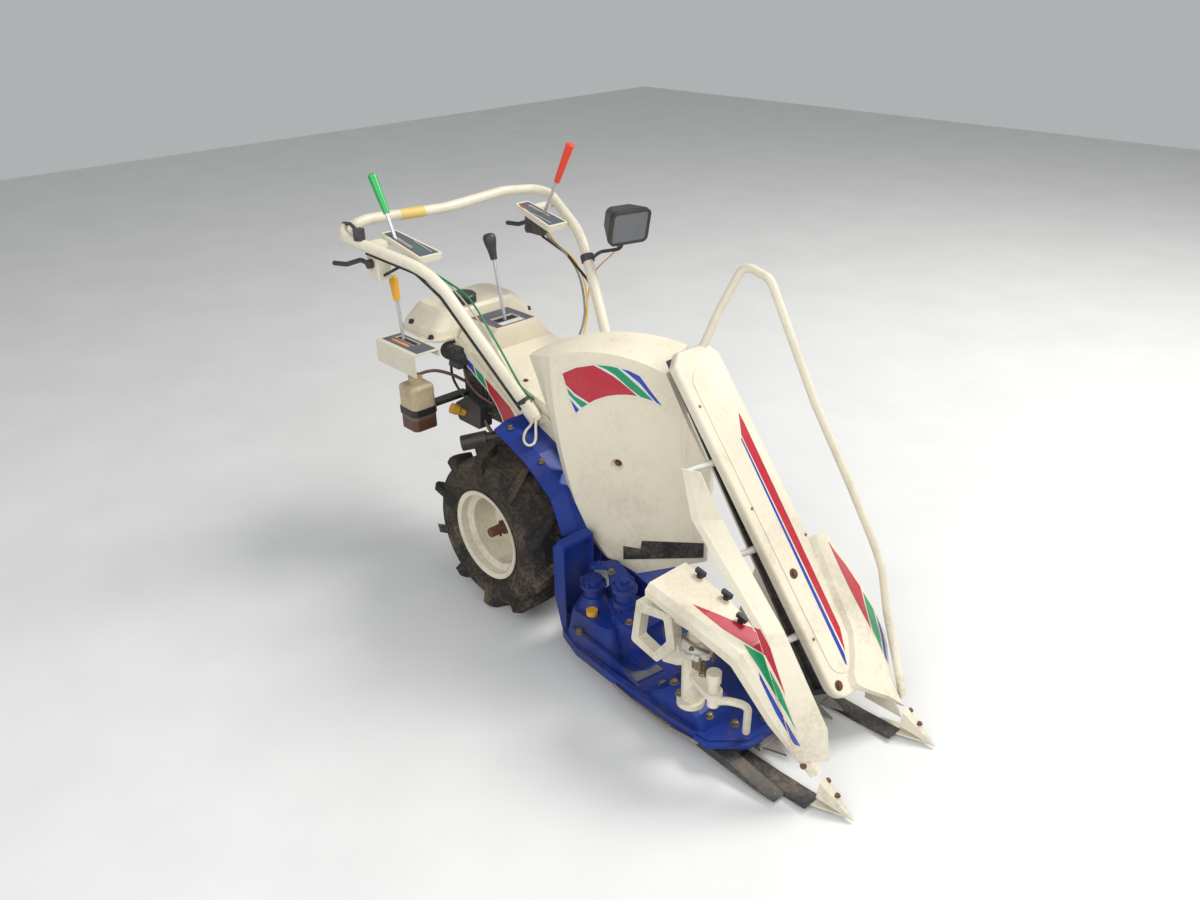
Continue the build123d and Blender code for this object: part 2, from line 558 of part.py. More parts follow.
rear_arm = box(REAR_X0 + 60, REAR_X0 + 90, REAR_Y1 - 3, CENTRE_Y - TANK_HALF + 1, REAR_Z - 12, TANK_Z0 + 10)
put("rear_console", rear_console + rear_arm - PARTS["fuel_tank"])
YELLOW_Y = REAR_Y0 + 52
yellow_rod, yellow_grip = lever((-386, YELLOW_Y, REAR_Z - 30), (-399, YELLOW_Y, 690), (-406, YELLOW_Y, 750), 9)
pivot = box(-392, -380, REAR_Y0 + 3, REAR_Y1 - 12, REAR_Z - 36, REAR_Z - 26)
put("yellow_grip", yellow_grip)
put("lever_rods", green_rod, red_rod, shift_rod, yellow_rod + pivot)

# Clutch levers under the grips and the throttle on the right bar
right_lever = pipe([(-396, CENTRE_Y - HOUSING_D1 - 6, 796), (-430, CENTRE_Y - HOUSING_D1 - 10, 800),
                    (-466, CENTRE_Y - HOUSING_D1 - 30, 786), (-506, CENTRE_Y - HOUSING_D1 - 42, 784)],
                   6, [20, 30])
right_pivot = rod((-396, CENTRE_Y - HOUSING_D1 + 1, 796), (-396, CENTRE_Y - HOUSING_D1 - 13, 796), 11)
LEFT_D = CONSOLE_OUT - 8
left_bracket = box(-398, -330, side_y(LEFT_D - 22, 1), side_y(LEFT_D, 1), 782, under_console(-330))
left_pivot = rod((-388, side_y(LEFT_D - 24, 1), 792), (-388, side_y(LEFT_D + 14, 1), 792), 11)
left_lever = pipe([(-388, side_y(LEFT_D + 7, 1), 792), (-424, side_y(LEFT_D + 7, 1), 800),
                   (-458, side_y(LEFT_D + 2, 1), 788), (-500, side_y(LEFT_D - 4, 1), 786)], 6, [20, 30])
throttle_at = bar_at_x(-392, -1)
throttle = rod(throttle_at + Vector(0, 0, BAR_R - 4), throttle_at + Vector(0, 0, BAR_R + 22), 14)
throttle_lever = pipe([throttle_at + Vector(-4, 0, BAR_R + 16), throttle_at + Vector(-50, 8, BAR_R + 24),
                       throttle_at + Vector(-96, 16, BAR_R + 16)], 4.5, [30])
put("hand_levers", right_lever + right_pivot, left_bracket + left_pivot + left_lever, throttle + throttle_lever)

# Work lamp on its stalk, clamped to the left bar
LAMP_W, LAMP_H, LAMP_D = 112.0, 92.0, 62.0
LAMP_AT = Vector(-92, 561.5, 846)
lamp_seat = lower_bar_at(0.16, 1)
lamp_run = (lower_bar_at(1, 1) - lower_bar_at(0, 1)).normalized()
stalk = pipe([lamp_seat + Vector(4, BAR_R + 1, 0), lamp_seat + Vector(4, BAR_R + 26, 10),
              LAMP_AT + Vector(-6, -6, -LAMP_H / 2 - 22), LAMP_AT + Vector(-4, 0, -LAMP_H / 2 + 8)],
             LEVER_R, [14, 22])
lamp_plane = Plane(LAMP_AT, x_dir=(0.25, 1, 0), z_dir=(1, -0.25, -0.28))
SHELL_END = LAMP_D / 2 - 12
shell = loft([Pos(0, 0, -LAMP_D / 2) * RectangleRounded(LAMP_W * 0.72, LAMP_H * 0.68, 16),
              Pos(0, 0, SHELL_END) * RectangleRounded(LAMP_W, LAMP_H, 16)], ruled=True)
bezel = extrude(Pos(0, 0, SHELL_END) * RectangleRounded(LAMP_W, LAMP_H, 16), 12)
lens_cut = extrude(Pos(0, 0, LAMP_D / 2 - 5) * RectangleRounded(LAMP_W - 14, LAMP_H - 14, 10), 8)
lens = extrude(Pos(0, 0, LAMP_D / 2 - 5) * RectangleRounded(LAMP_W - 14.2, LAMP_H - 14.2, 10), 3.5)
put("work_lamp", lamp_plane * (shell + bezel - lens_cut))
put("lamp_lens", lamp_plane * lens)
put("lamp_stalk", clamp_ring(lamp_seat, lamp_run, 18) + stalk - PARTS["work_lamp"])

# Oil bottle in its strap
BOT_X, BOT_Y, BOT_W, BOT_Z0, BOT_Z1 = -330.0, 54.0, 70.0, 372.0, 492.0
bottle = box(BOT_X - BOT_W / 2, BOT_X + BOT_W / 2, BOT_Y - BOT_W / 2, BOT_Y + BOT_W / 2, BOT_Z0, BOT_Z1)
bottle = fillet(bottle.edges().filter_by(Axis.Z), 14)
bottle = fillet(bottle.faces().sort_by(Axis.Z)[-1].edges(), 12)
put("oil_bottle", bottle + post(BOT_X, BOT_Y, BOT_Z1 - 1, BOT_Z1 + 20, 18))
STRAP_Z = 412.0
strap_out = extrude(Pos(BOT_X, BOT_Y, STRAP_Z) * RectangleRounded(BOT_W + 6, BOT_W + 6, 17), 18)
strap_in = extrude(Pos(BOT_X, BOT_Y, STRAP_Z - 5) * RectangleRounded(BOT_W + 0.1, BOT_W + 0.1, 14), 30)
strap_arm = box(BOT_X - 14, BOT_X + 16, BOT_Y + BOT_W / 2 + 2, BLOCK_Y0 + 4, STRAP_Z + 4, STRAP_Z + 14)
put("bottle_strap", strap_out - strap_in + strap_arm)

# Binder cover: a bevelled, crowned moulding, open at the back
turn = radians(COVER_TURN)
cover_plane = Plane(COVER_AT, x_dir=(cos(turn), sin(turn), 0), z_dir=(sin(turn), -cos(turn), 0))
# depth; top left corner, crown, top right corner; left flank: middle, lower, knee, foot
COVER_RINGS = [
    (0.0, (-21, 687), (100, 707), (240, 675), (-2, 470), (28, 337), (59, 264), (104, 203)),
    (COVER_BEVEL, (-50, 678), (100, 711), (244, 681), (-20, 465), (12, 325), (38, 248), (95, 186)),
    (60.0, (-94, 658), (100, 717), (254, 697), (-36, 455), (-4, 310), (22, 236), (84, 172)),
    (COVER_DEPTH, (-100, 652), (100, 722), (260, 708), (-40, 450), (-8, 300), (18, 230), (80, 168)),
]
COVER_RIGHT, COVER_FOOT = 338.0, (176.0, 172.0)


def cover_ring(ring, wall, depth):
    """The cover's outline at one depth, drawn in by the wall."""
    _, corner, crown, right, mid, lower, knee, foot = ring
    w = wall
    top_left, top_right = (corner[0] + w, corner[1] - w), (right[0] - w, right[1] - w)
    left_low, knee, foot = (lower[0] + w, lower[1]), (knee[0] + w, knee[1] + w), (foot[0] + w, foot[1] + w)
    base = (COVER_FOOT[0], COVER_FOOT[1] + w)
    shoulder, side, corner_low = (290 - w, 562), (COVER_RIGHT - w, 470), (COVER_RIGHT - w, 236 + w)
    face = make_face([
        ThreePointArc(top_left, (crown[0], crown[1] - w), top_right),
        Line(top_right, shoulder), Line(shoulder, side), Line(side, corner_low), Line(corner_low, base),
        Line(base, foot), Line(foot, knee), Line(knee, left_low),
        ThreePointArc(left_low, (mid[0] + w, mid[1]), top_left),
    ])
    return cover_plane * Pos(0, 0, -depth) * face


outside = loft([cover_ring(ring, 0, ring[0]) for ring in COVER_RINGS], ruled=True)
inside = loft([cover_ring(ring, COVER_WALL, depth) for ring, depth in
               zip(COVER_RINGS, (COVER_WALL, COVER_BEVEL + 2, 62.0, COVER_DEPTH + 1))], ruled=True)
cover = outside - inside
cover -= cover_plane * Pos(150, 330, -COVER_LOW_DEPTH - 100) * Box(600, 360, 200)
cover -= cover_plane * Pos(150, 252, -COVER_FOOT_DEPTH - 100) * Box(600, 284, 200)
decal_bed = make_face([
    Line((2, 656), (32, 549)), ThreePointArc((32, 549), (148, 612), (240, 594)), Line((240, 594), (188, 668)),
    ThreePointArc((188, 668), (96, 684), (2, 656)),
])
cover -= cover_plane * extrude(Pos(0, 0, -1.2) * decal_bed, 5)
WELL = (129.0, 447.0)
well_wall = cover_plane * Pos(WELL[0], WELL[1], -8) * Cone(11, 18, 10)
well = cover_plane * Pos(WELL[0], WELL[1], -5) * Cone(8, 15, 12)
cover = cover + well_wall - well
put("binder_cover", cover)
apron = make_face(Polyline((143, 240), (143, 206), (330, 246), (330, 282), (187, 262), (184, 240), close=True))
put("rubber_apron", cover_plane * extrude(apron, 4))

# Header deck, its cast cover and a worn patch plate
DECK_LINE = [(200, 120), (256, 16), (330, -8), (470, -18), (640, -22), (735, -18), (790, 40), (800, 120),
             (760, 330), (420, 340), (300, 330), (205, 250)]
deck = top_prism(DECK_LINE, DECK_Z, DECK_TOP, 14)
rim = top_prism(DECK_LINE, DECK_TOP - 1, DECK_TOP + DECK_RIM, 14)
rim -= extrude(offset(Pos(0, 0, DECK_TOP - 2) * rounded(DECK_LINE, 14), -13), DECK_RIM + 5)
deck = deck + rim
deck -= box(330, 420, BEAM_Y0 - 1, BEAM_Y1 + 1, DECK_TOP, DECK_TOP + DECK_RIM + 1)
front_box = side_prism([(552, DECK_TOP - 1), (716, DECK_TOP - 1), (700, 92), (676, 104), (600, 98), (566, 76)],
                       -8, 82)
front_box = chamfer(front_box.edges().filter_by(lambda e: abs(e.center().Y - (-8)) < 0.1
                                                and e.center().Z > DECK_TOP + 8), 8)
lower_plate = top_prism([(700, -26), (742, -28), (800, 30), (806, 76), (712, 84)], DECK_TOP - 4, DECK_TOP + 4, 8)
patch = top_prism([(424, 12), (508, 6), (520, 84), (430, 88)], DECK_TOP, DECK_TOP + 3, 4)
put("deck", deck + front_box + lower_plate + patch)

# Header gearcase with its two upright shafts and the link between them
POST_A, POST_B = (302.0, 74.0), (400.0, 80.0)
A_R, A_TOP, B_R, B_TOP, TABLE_Z = 22.0, 196.0, 20.0, 226.0, 152.0
FLARE_Z = 128.0
gearcase = loft([Pos(348, 68, DECK_TOP - 1) * RectangleRounded(160, 122, 26),
                 Pos(342, 68, FLARE_Z) * RectangleRounded(132, 92, 22)])
post_a = cone((*POST_A, FLARE_Z - 4), (*POST_A, 152), 40, A_R + 4) + post(*POST_A, 150, A_TOP, A_R)
post_a += post(*POST_A, A_TOP - 20, A_TOP - 12, A_R + 8)
table = top_prism([(356, 128), (356, 66), (430, 30), (470, 26), (492, 52), (492, 128)], TABLE_Z, TABLE_Z + 12, 10)
table_leg = side_prism([(376, DECK_TOP - 1), (488, DECK_TOP - 1), (470, TABLE_Z + 1), (392, TABLE_Z + 1)], 46, 120)
post_b = post(*POST_B, TABLE_Z + 11, B_TOP, B_R) + post(*POST_B, TABLE_Z + 11, TABLE_Z + 30, B_R + 7)
post_b += post(*POST_B, B_TOP - 1, B_TOP + 10, 10)
rib = side_prism([(306, DECK_TOP - 1), (520, DECK_TOP - 1), (424, DECK_TOP + 34), (306, DECK_TOP + 46)], 2, 10)
LINK = (316.0, 124.0)
LINK_Z = B_TOP - 20
link_line = make_hull([*(Pos(*LINK) * Circle(16)).edges(), *(Pos(*POST_B) * Circle(B_R + 8)).edges()])
link = extrude(Pos(0, 0, LINK_Z) * link_line, 11) - post(*POST_B, LINK_Z - 20, LINK_Z + 40, B_R + PIVOT_FIT)
far_arm = make_hull([*(Pos(*LINK) * Circle(13)).edges(), *(Pos(286, 92) * Circle(10)).edges()])
link += extrude(Pos(0, 0, LINK_Z + 1) * far_arm, 9)
link_post = post(*LINK, FLARE_Z - 20, LINK_Z + 1, 10)
put("header_gearcase", gearcase + post_a + table + table_leg + post_b + rib + link_post + link)
put("oil_caps", dipstick, post(334, 40, FLARE_Z, FLARE_Z + 12, 13))

# Skids, cutter and the edge rod of the deck
skid_side = [(0, DECK_Z), (0, 14), (40, 0), (560, 0), (648, 6), (652, 13), (560, SKID_T + 2), (470, SKID_T + 2),
             (440, DECK_Z)]
right_skid = side_prism([(300 + x, z) for x, z in skid_side], 20, 62)
left_skid = side_prism([(330 + x * 0.96, z) for x, z in skid_side], 296, 332)
side_rail = side_prism([(700, DECK_Z), (700, 20), (860, SKID_T), (900, SKID_T + 2), (756, DECK_Z)], -12, 21)
put("skids", right_skid + side_rail, left_skid)
CUT_X, CUT_Z = 772.0, DECK_Z - 8
cutter = box(CUT_X, CUT_X + 36, 58, 300, CUT_Z, CUT_Z + 8)
for i in range(6):
    tooth_y = 84 + 38 * i
    cutter += top_prism([(CUT_X + 35, tooth_y - 16), (CUT_X + 35, tooth_y + 16), (CUT_X + 82, tooth_y)],
                        CUT_Z + 1, CUT_Z + 6)
put("cutter_bar", cutter)
put("edge_rod", pipe([(470, -22, DECK_Z + 6), (540, -27, DECK_Z + 2), (640, -28, DECK_Z), (716, -22, DECK_Z + 4)],
                     3.5, [120, 120]))

# Knotter: cast frame with its window, upright shaft, toothed twine disc and discharge arm
window_out = [(530, 292), (513, 182), (587, 166), (638, 224), (626, 300)]
window_in = [(544, 266), (534, 199), (580, 186), (614, 232), (606, 280)]
window = side_prism(window_out, -12, 12, 8) - side_prism(window_in, -20, 20, 5)
throat = side_prism([(584, 168), (632, 222), (672, 232), (672, 206), (640, 186)], -8, 10, 6)
column = post(*KNOT_COLUMN, 96, 234, 20) + post(*KNOT_COLUMN, 96, 108, 29)
hub = post(*KNOT_DISC, 228, 300, 17)
bridge = box(600, 690, -6, 18, 284, 298)
stay = post(612, 12, 290, 339, 7)
pivot_lug = make_hull([*(Pos(*KNOT_COLUMN) * Circle(14)).edges(), *(Pos(*KNOT_PIVOT) * Circle(18)).edges()])
lug = extrude(Pos(0, 0, 168) * pivot_lug, 14) - post(*KNOT_PIVOT, 100, 300, PIVOT_R + PIVOT_FIT)
put("knotter_frame", window + throat + column + hub + bridge + stay + lug)
disc = post(*KNOT_DISC, DISC_Z0, DISC_Z1, DISC_R) + cone((*KNOT_DISC, DISC_Z1 - 1), (*KNOT_DISC, DISC_Z1 + 14), 32, 22)
disc += cone((*KNOT_DISC, DISC_Z0 - 12), (*KNOT_DISC, DISC_Z0 + 1), 24, 34)
notches = []
for i in range(12):
    a = radians(30 * i)
    nx, ny = KNOT_DISC[0] + (DISC_R + 2) * cos(a), KNOT_DISC[1] + (DISC_R + 2) * sin(a)
    notches.append(post(nx, ny, DISC_Z0 - 2, DISC_Z1 + 2, 6))
put("knotter_disc", (disc - post(*KNOT_DISC, DISC_Z0 - 20, DISC_Z1 + 30, 17 + PIVOT_FIT)).cut(*notches))
px, py = KNOT_PIVOT
swing = pipe([(px, py, 154), (px + 32, py + 6, 172), (px + 60, py + 34, 160), (px + 44, py + 52, 74)], 8, [20, 26])
put("knotter_arm", post(px, py, 146, 206, PIVOT_R) + post(px, py, 204, 226, 15) + swing)

# Knotter cover: x, z of each rib, its lean, right and left edges, depth of the side walls
COVER_RIBS = [
    (566, 350, 90, -24, 104, 26),
    (690, 326, 84, -20, 96, 30),
    (796, 296, 62, -12, 72, 34),
    (880, 172, 34, 14, 68, 30),
    (950, 72, 34, 42, 72, 12),
]


def cover_rib(rib, wall, shift):
    """One cross section of the knotter cover: its roof and side walls, drawn in by the wall."""
    x, z, leanback, right, left, drop = rib
    a = radians(leanback)
    plane = Plane(origin=(x + shift, 0, z), x_dir=(0, 1, 0), z_dir=(sin(a), 0, -cos(a)))
    r, l, soft = right + wall, left - wall, min(12, (left - right) / 3)
    flat = [(r, -drop - wall), (r, -soft), (r + soft, -wall), (l - soft, -wall), (l, -soft), (l, -drop - wall)]
    return [plane.from_local_coords(Vector(u, v, 0)) for u, v in flat]


roof = ruled([cover_rib(rib, 0, 0) for rib in COVER_RIBS])
roof_in = ruled([cover_rib(rib, 3, 3 if i == 0 else 0) for i, rib in enumerate(COVER_RIBS)])
put("knotter_cover", roof - roof_in)


def roof_seat(x, y):
    """A plane lying on the knotter cover's roof at x, y."""
    spans = [pair for pair in zip(COVER_RIBS, COVER_RIBS[1:]) if pair[0][0] <= x < pair[1][0]]
    rear, front = spans[0]
    run = Vector(front[0] - rear[0], 0, front[1] - rear[1])
    return Plane(Vector(rear[0], y, rear[1]) + run * ((x - rear[0]) / run.X), x_dir=run, z_dir=(-run.Z, 0, run.X))


knobs = []
for kx, ky in ((613, 84), (686, 80), (742, 58)):
    knob_shape = extrude(Pos(0, 0, -1.5) * Circle(7), 10) + Pos(0, 0, 12) * Box(24, 8, 10)
    knobs.append(roof_seat(kx, ky) * knob_shape)
put("cover_knobs", *knobs)

# Pickup case, chain channel, tines and frame
tilt = radians(CASE_TILT)
down = Vector(sin(tilt), 0, -cos(tilt))
out = Vector(cos(tilt), 0, sin(tilt))
case_top = Vector(PICK_TOP[0], 0, PICK_TOP[1])
CASE_MID_Y = (PICK_Y0 + PICK_Y1) / 2
CASE_W_Y = PICK_Y1 - PICK_Y0


def on_case(along, depth):
    """(x, z) on the case: distance down from its top end, depth behind its front face."""
    p = case_top + down * along - out * depth
    return (p.X, p.Z)


# plane of the front face: x down the case, y to the left
case_plane = Plane(origin=case_top + Vector(0, CASE_MID_Y, 0), x_dir=down, z_dir=out)
half_w = CASE_W_Y / 2
case_face = make_face(Polyline((0, -half_w + 26), (26, -half_w), (PICK_LEN, -half_w), (PICK_LEN, half_w),
                               (30, half_w), (0, half_w - 26), close=True))
case_face = fillet(case_face.vertices().group_by(Axis.X)[-1], 44)
case = case_plane * extrude(case_face, -PICK_COVER_T)
case = fillet(case.faces().sort_by(Axis(tuple(case_top), tuple(out)))[-1].edges(), 7)
BAND_IN = 24.0
band = case_plane * extrude(Pos(PICK_LEN / 2, 0, -0.5) * RectangleRounded(PICK_LEN - 90, CASE_W_Y - 2 * BAND_IN, 36), 2)
put("pickup_case", case + band)
CHANNEL_END = PICK_LEN - 24
channel = side_prism([on_case(6, PICK_COVER_T), on_case(CHANNEL_END, PICK_COVER_T),
                      on_case(CHANNEL_END, PICK_COVER_T + CHANNEL_LOW_T),
                      on_case(6, PICK_COVER_T + CHANNEL_TOP_T)], PICK_Y0 + CHANNEL_IN, PICK_Y1 - CHANNEL_IN)
groove = side_prism([on_case(180, PICK_COVER_T + 4), on_case(CHANNEL_END - 12, PICK_COVER_T + 4),
                     on_case(CHANNEL_END - 12, PICK_COVER_T + CHANNEL_LOW_T - 10),
                     on_case(180, PICK_COVER_T + 12)], PICK_Y0 + CHANNEL_IN - 2, PICK_Y0 + CHANNEL_IN + 10)
put("pickup_channel", channel - groove)


def behind_channel(along):
    """Depth of the channel's back at a distance down the case."""
    return PICK_COVER_T + CHANNEL_TOP_T + (CHANNEL_LOW_T - CHANNEL_TOP_T) * (along - 6) / (CHANNEL_END - 6)


FRAME_0, FRAME_1, FRAME_T = 120.0, CHANNEL_END - 40, 14.0
back = side_prism([on_case(FRAME_0, behind_channel(FRAME_0)), on_case(FRAME_1, behind_channel(FRAME_1)),
                   on_case(FRAME_1, behind_channel(FRAME_1) + FRAME_T),
                   on_case(FRAME_0, behind_channel(FRAME_0) + FRAME_T)], PICK_Y0 + 16, PICK_Y1 - 8)
frame_leg = side_prism([on_case(FRAME_1 - 260, behind_channel(FRAME_1 - 260) + FRAME_T - 1),
                        on_case(FRAME_1 - 150, behind_channel(FRAME_1 - 150) + FRAME_T - 1),
                        (690, DECK_TOP), (560, DECK_TOP)], CASE_MID_Y - 30, CASE_MID_Y + 30)
put("pickup_frame", back + frame_leg)
fingers = []
for i in range(TINE_COUNT):
    along = TINE_FIRST + TINE_PITCH * i
    tx, tz = on_case(along, PICK_COVER_T + TINE_R + 1)
    root = Vector(tx, PICK_Y0 + CHANNEL_IN + 9, tz)
    fingers.append(cone(root, root + Vector(0, -TINE_L, 0) - down * 10, TINE_R, TINE_R - 4))
put("pickup_tines", *fingers)

# Dividers: folded strips given by their plan at each height, from the back edge over the folds
RIGHT_DIVIDER = [
    (590, (592, 48), (606, 52), (627, 60)),
    (498, (626, 40), (640, 46), (668, 80)),
    (325, (797, 38), (814, 45), (828, 80)),
    (160, (890, 27), (904, 33), (943, 80)),
    (100, (918, 28), (930, 34), (959, 70)),
]
# Left divider on the case's plane: distance down the case, y at the foot of its bevel, y at the bevel's top
LEFT_EDGE = [(461, 329, 336), (516, 323, 331), (569, 315, 323), (625, 313, 320), (668, 307, 314), (707, 284, 292),
             (742, 253, 262), (760, 250, 260), (772, 260, 268), (804, 298, 303), (824, 322, 327), (858, 356, 354)]
# fold and outer edge: distance down the case and y of each
LEFT_FOLD = [(466, 364, 483, 392), (590, 358, 613, 419), (705, 359, 721, 419), (781, 353, 791, 378),
             (846, 350, 856, 371)]
LEFT_RISE, LEFT_FALL, SHEET_T = 12.0, 8.0, 3.0


def folded_strip(stations, wall):
    """A sheet strip through plan lines (height, points), walled on the side away from the front."""
    return ruled([[(x, y, z) for x, y in list(line) + inner_line(list(line), wall)[::-1]]
                  for z, *line in stations])


right_divider = folded_strip(RIGHT_DIVIDER, 3)


def over_case(along, y, height):
    """A point over the case: distance down it, y and height over its front face."""
    x, z = on_case(along, -height)
    return (x, y, z)


fold_side = [(along, y) for along, y, _, _ in reversed(LEFT_FOLD)]
plate_low = [over_case(a, y, 0) for a, y, _ in LEFT_EDGE] + [over_case(a, y, 0) for a, y in fold_side]
plate_top = [over_case(a, y, LEFT_RISE) for a, _, y in LEFT_EDGE]
plate_top += [over_case(a, y, LEFT_RISE) for a, y in fold_side]
left_plate = ruled([plate_low, plate_top])
pocket = [(472, 342), (560, 328), (664, 322), (706, 302), (745, 272), (762, 272), (800, 314), (820, 338), (705, 351),
          (600, 350)]
left_plate -= ruled([[over_case(a, y, -2) for a, y in pocket],
                     [over_case(a, y, LEFT_RISE - SHEET_T) for a, y in pocket]])
left_flap = ruled([[over_case(fold, fold_y, LEFT_RISE), over_case(edge, edge_y, -LEFT_FALL),
                    over_case(edge, edge_y - SHEET_T, -LEFT_FALL - SHEET_T),
                    over_case(fold, fold_y - SHEET_T, LEFT_RISE - SHEET_T)]
                   for fold, fold_y, edge, edge_y in LEFT_FOLD])
left_web = side_prism([(862, 36), (950, 36), (940, 54), (889, 116), (862, 100)], PICK_Y1 + 6, PICK_Y1 + 9)
left_divider = left_plate + left_flap + left_web
put("dividers", right_divider, left_divider)
HOOP_LINE = [(412, 300, 716), (432, 330, 800), (467, 358, 893), (531, 362, 876), (647, 380, 639), (742, 400, 467),
             (797, 412, 360), (823, 413, 310), (847, 413, 210), (871, 410, 146), (933, 370, 58)]
put("crop_hoop", pipe(HOOP_LINE, HOOP_R, [60, 26, 30, 300, 300, 90, 70, 200, 60]))


def divider_tip(x, y, hand):
    """A folded point: a narrow roof over a flat sole that meets the skid."""
    top = [(x - 72, y - 20, 26), (x - 72, y - 12, 56), (x - 72, y + 2, 64), (x - 72, y + 18, 48), (x - 72, y + 16, 26)]
    point = [(x, y - 2, 6), (x, y - 1.5, 8), (x, y, 9), (x, y + 1.5, 8), (x, y + 2, 6)]
    wing = top_prism([(x - 2, y), (x - 70, y - hand * 24), (x - 128, y - hand * 40), (x - 122, y - hand * 8),
                      (x - 64, y + hand * 14)], 6, 11)
    return ruled([top, point]) + wing


put("divider_tips", divider_tip(1028, 62, 1), divider_tip(1028, 344, 1))


# Control cables clipped along the bars
def beside(run, way):
    """The offset that lays a cable against the bar, on the side nearest the given way."""
    way = Vector(*way)
    return (way - run * way.dot(run)).normalized() * (BAR_R + CABLE_R + CABLE_GAP)


def along_bar(side, way, stations):
    run = (lower_bar_at(1, side) - lower_bar_at(0, side)).normalized()
    return [lower_bar_at(t, side) + beside(run, way) for t in stations]


def grip_run(side, way, stations):
    run = (bar_at(1, side) - bar_at(0, side)).normalized()
    return [bar_at(t, side) + beside(run, way) for t in stations]


dark = pipe(grip_run(-1, (0, 0, -1), [0.66, 0.16]) + along_bar(-1, (-1, -0.8, 0), [0.14, 0.92]), CABLE_R, [60, 60])
second = pipe([(-380, CENTRE_Y - HOUSING_D1 + 16, 764), *grip_run(-1, (-0.4, 1, -1), [0.3]),
               *along_bar(-1, (-1, 0.5, 0), [0.16, 0.9])], CABLE_R, [50, 60])
left_cable = pipe([(-340, side_y(LEFT_D - 11, 1), 778), (-262, side_y(LEFT_D + 2, 1), 745),
                   *along_bar(1, (-1, 0.2, 0), [0.3, 0.88])], CABLE_R, [40, 60])
put("control_cables", dark, second, left_cable)

# Pieces that seat on or around others are cut to them: piece, what it fits round
SEATED = [
    ("lever_consoles", ["handlebar"]),
    ("lever_rods", ["lever_consoles", "hood", "shift_gate"]),
    ("hand_levers", ["lever_consoles", "handlebar"]),
    ("control_cables", ["hand_levers", "lever_consoles", "handlebar", "handle_brackets"]),
    ("lamp_stalk", ["handlebar"]),
    ("main_frame", ["transmission_case", "deck"]),
    ("deck", ["header_gearcase"]),
    ("knotter_frame", ["deck", "knotter_cover"]),
    ("oil_caps", ["header_gearcase", "engine_block"]),
    ("cover_knobs", ["knotter_cover"]),
    ("knotter_disc", ["knotter_frame"]),
    ("crop_hoop", ["pickup_case", "dividers"]),
    ("pickup_tines", ["pickup_channel"]),
    ("cutter_bar", ["skids", "pickup_case", "pickup_channel", "pickup_frame"]),
    ("edge_rod", ["deck"]),
    ("bottle_strap", ["engine_block"]),
    ("intake_boot", ["fuel_tank", "hood", "rear_console", "engine_block"]),
    ("hood", ["fuel_tank", "engine_block"]),
    ("fenders", ["deck"]),
    ("knotter_arm", ["deck", "knotter_frame"]),
    ("binder_cover", ["hood", "handlebar", "handle_brackets", "fenders"]),
    ("pickup_frame", ["deck"]),
    ("exhaust_pipe", ["main_frame", "engine_block"]),
    ("divider_tips", ["knotter_cover", "dividers", "skids"]),
    ("dividers", ["knotter_cover", "pickup_case"]),
]
for piece, carriers in SEATED:
    bits = PARTS[piece].solids()
    for carrier in carriers:
        bits = [bit for solid in bits for bit in (solid - PARTS[carrier]).solids()]
    PARTS[piece] = Compound(bits)

os.makedirs("parts", exist_ok=True)
for name, shape in PARTS.items():
    export_step(Pos(-MID_X, -CENTRE_Y, 0) * shape, f"parts/{name}.step")
whole = Compound(list(PARTS.values())).bounding_box()
print("size", whole.size, "middle", whole.center())
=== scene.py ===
import json
import math

import bmesh
import bpy
from mathutils import Matrix, Vector
from mathutils.bvhtree import BVHTree
from mathutils.geometry import delaunay_2d_cdt


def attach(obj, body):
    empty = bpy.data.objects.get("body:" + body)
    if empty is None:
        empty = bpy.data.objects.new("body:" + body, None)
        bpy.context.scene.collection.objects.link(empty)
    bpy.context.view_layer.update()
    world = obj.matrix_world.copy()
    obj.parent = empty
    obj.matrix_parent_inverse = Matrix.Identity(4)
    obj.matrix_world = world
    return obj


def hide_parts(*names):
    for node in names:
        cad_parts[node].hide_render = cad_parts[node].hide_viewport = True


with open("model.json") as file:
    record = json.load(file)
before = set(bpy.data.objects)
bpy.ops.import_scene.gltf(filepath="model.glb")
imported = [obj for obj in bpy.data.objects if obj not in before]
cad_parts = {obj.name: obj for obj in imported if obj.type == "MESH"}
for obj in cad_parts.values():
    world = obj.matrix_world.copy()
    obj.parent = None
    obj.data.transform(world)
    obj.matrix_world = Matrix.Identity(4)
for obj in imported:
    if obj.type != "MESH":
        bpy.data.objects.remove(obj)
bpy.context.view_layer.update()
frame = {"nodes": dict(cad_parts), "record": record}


CENTRE_X, CENTRE_Y = 0.2572, 0.285    # the frame's origin, as the working measures give it
CHASSIS = "chassis"


def at(x, y, z):
    """A point in metres from the wheel axle, the right rim's outer plane and the ground."""
    return Vector((x - CENTRE_X, y - CENTRE_Y, z))


def mm(*place):
    """The same point given in millimetres."""
    return at(*[v / 1000 for v in place])


def new_object(name, data):
    made = bpy.data.objects.new(name, data)
    bpy.context.scene.collection.objects.link(made)
    return made


# Camera and light

PITCH, YAW, ROLL = math.radians(26.62), math.radians(137.8), -0.022
LENS, SENSOR = 30.61, 36.0
NEAREST_SEEN = 0.05
CAMERA_PLACE = (1.748, -1.207, 1.485)
LIT_POINT = Vector((0, 0, 0.3))
# name, place, size, power, colour
LIGHTS = (
    ("key", (1.2, 2.6, 3.9), 1.8, 185, (1.0, 0.98, 0.95)),
    ("side", (1.6, -3.4, 2.8), 3.2, 112, (0.97, 0.98, 1.0)),
    ("front", (3.6, 0.4, 2.2), 3.0, 52, (0.95, 0.97, 1.0)),
)
SKY, SKY_STRENGTH = (0.86, 0.88, 0.9, 1), 0.5
FLOOR_SIZE = 14


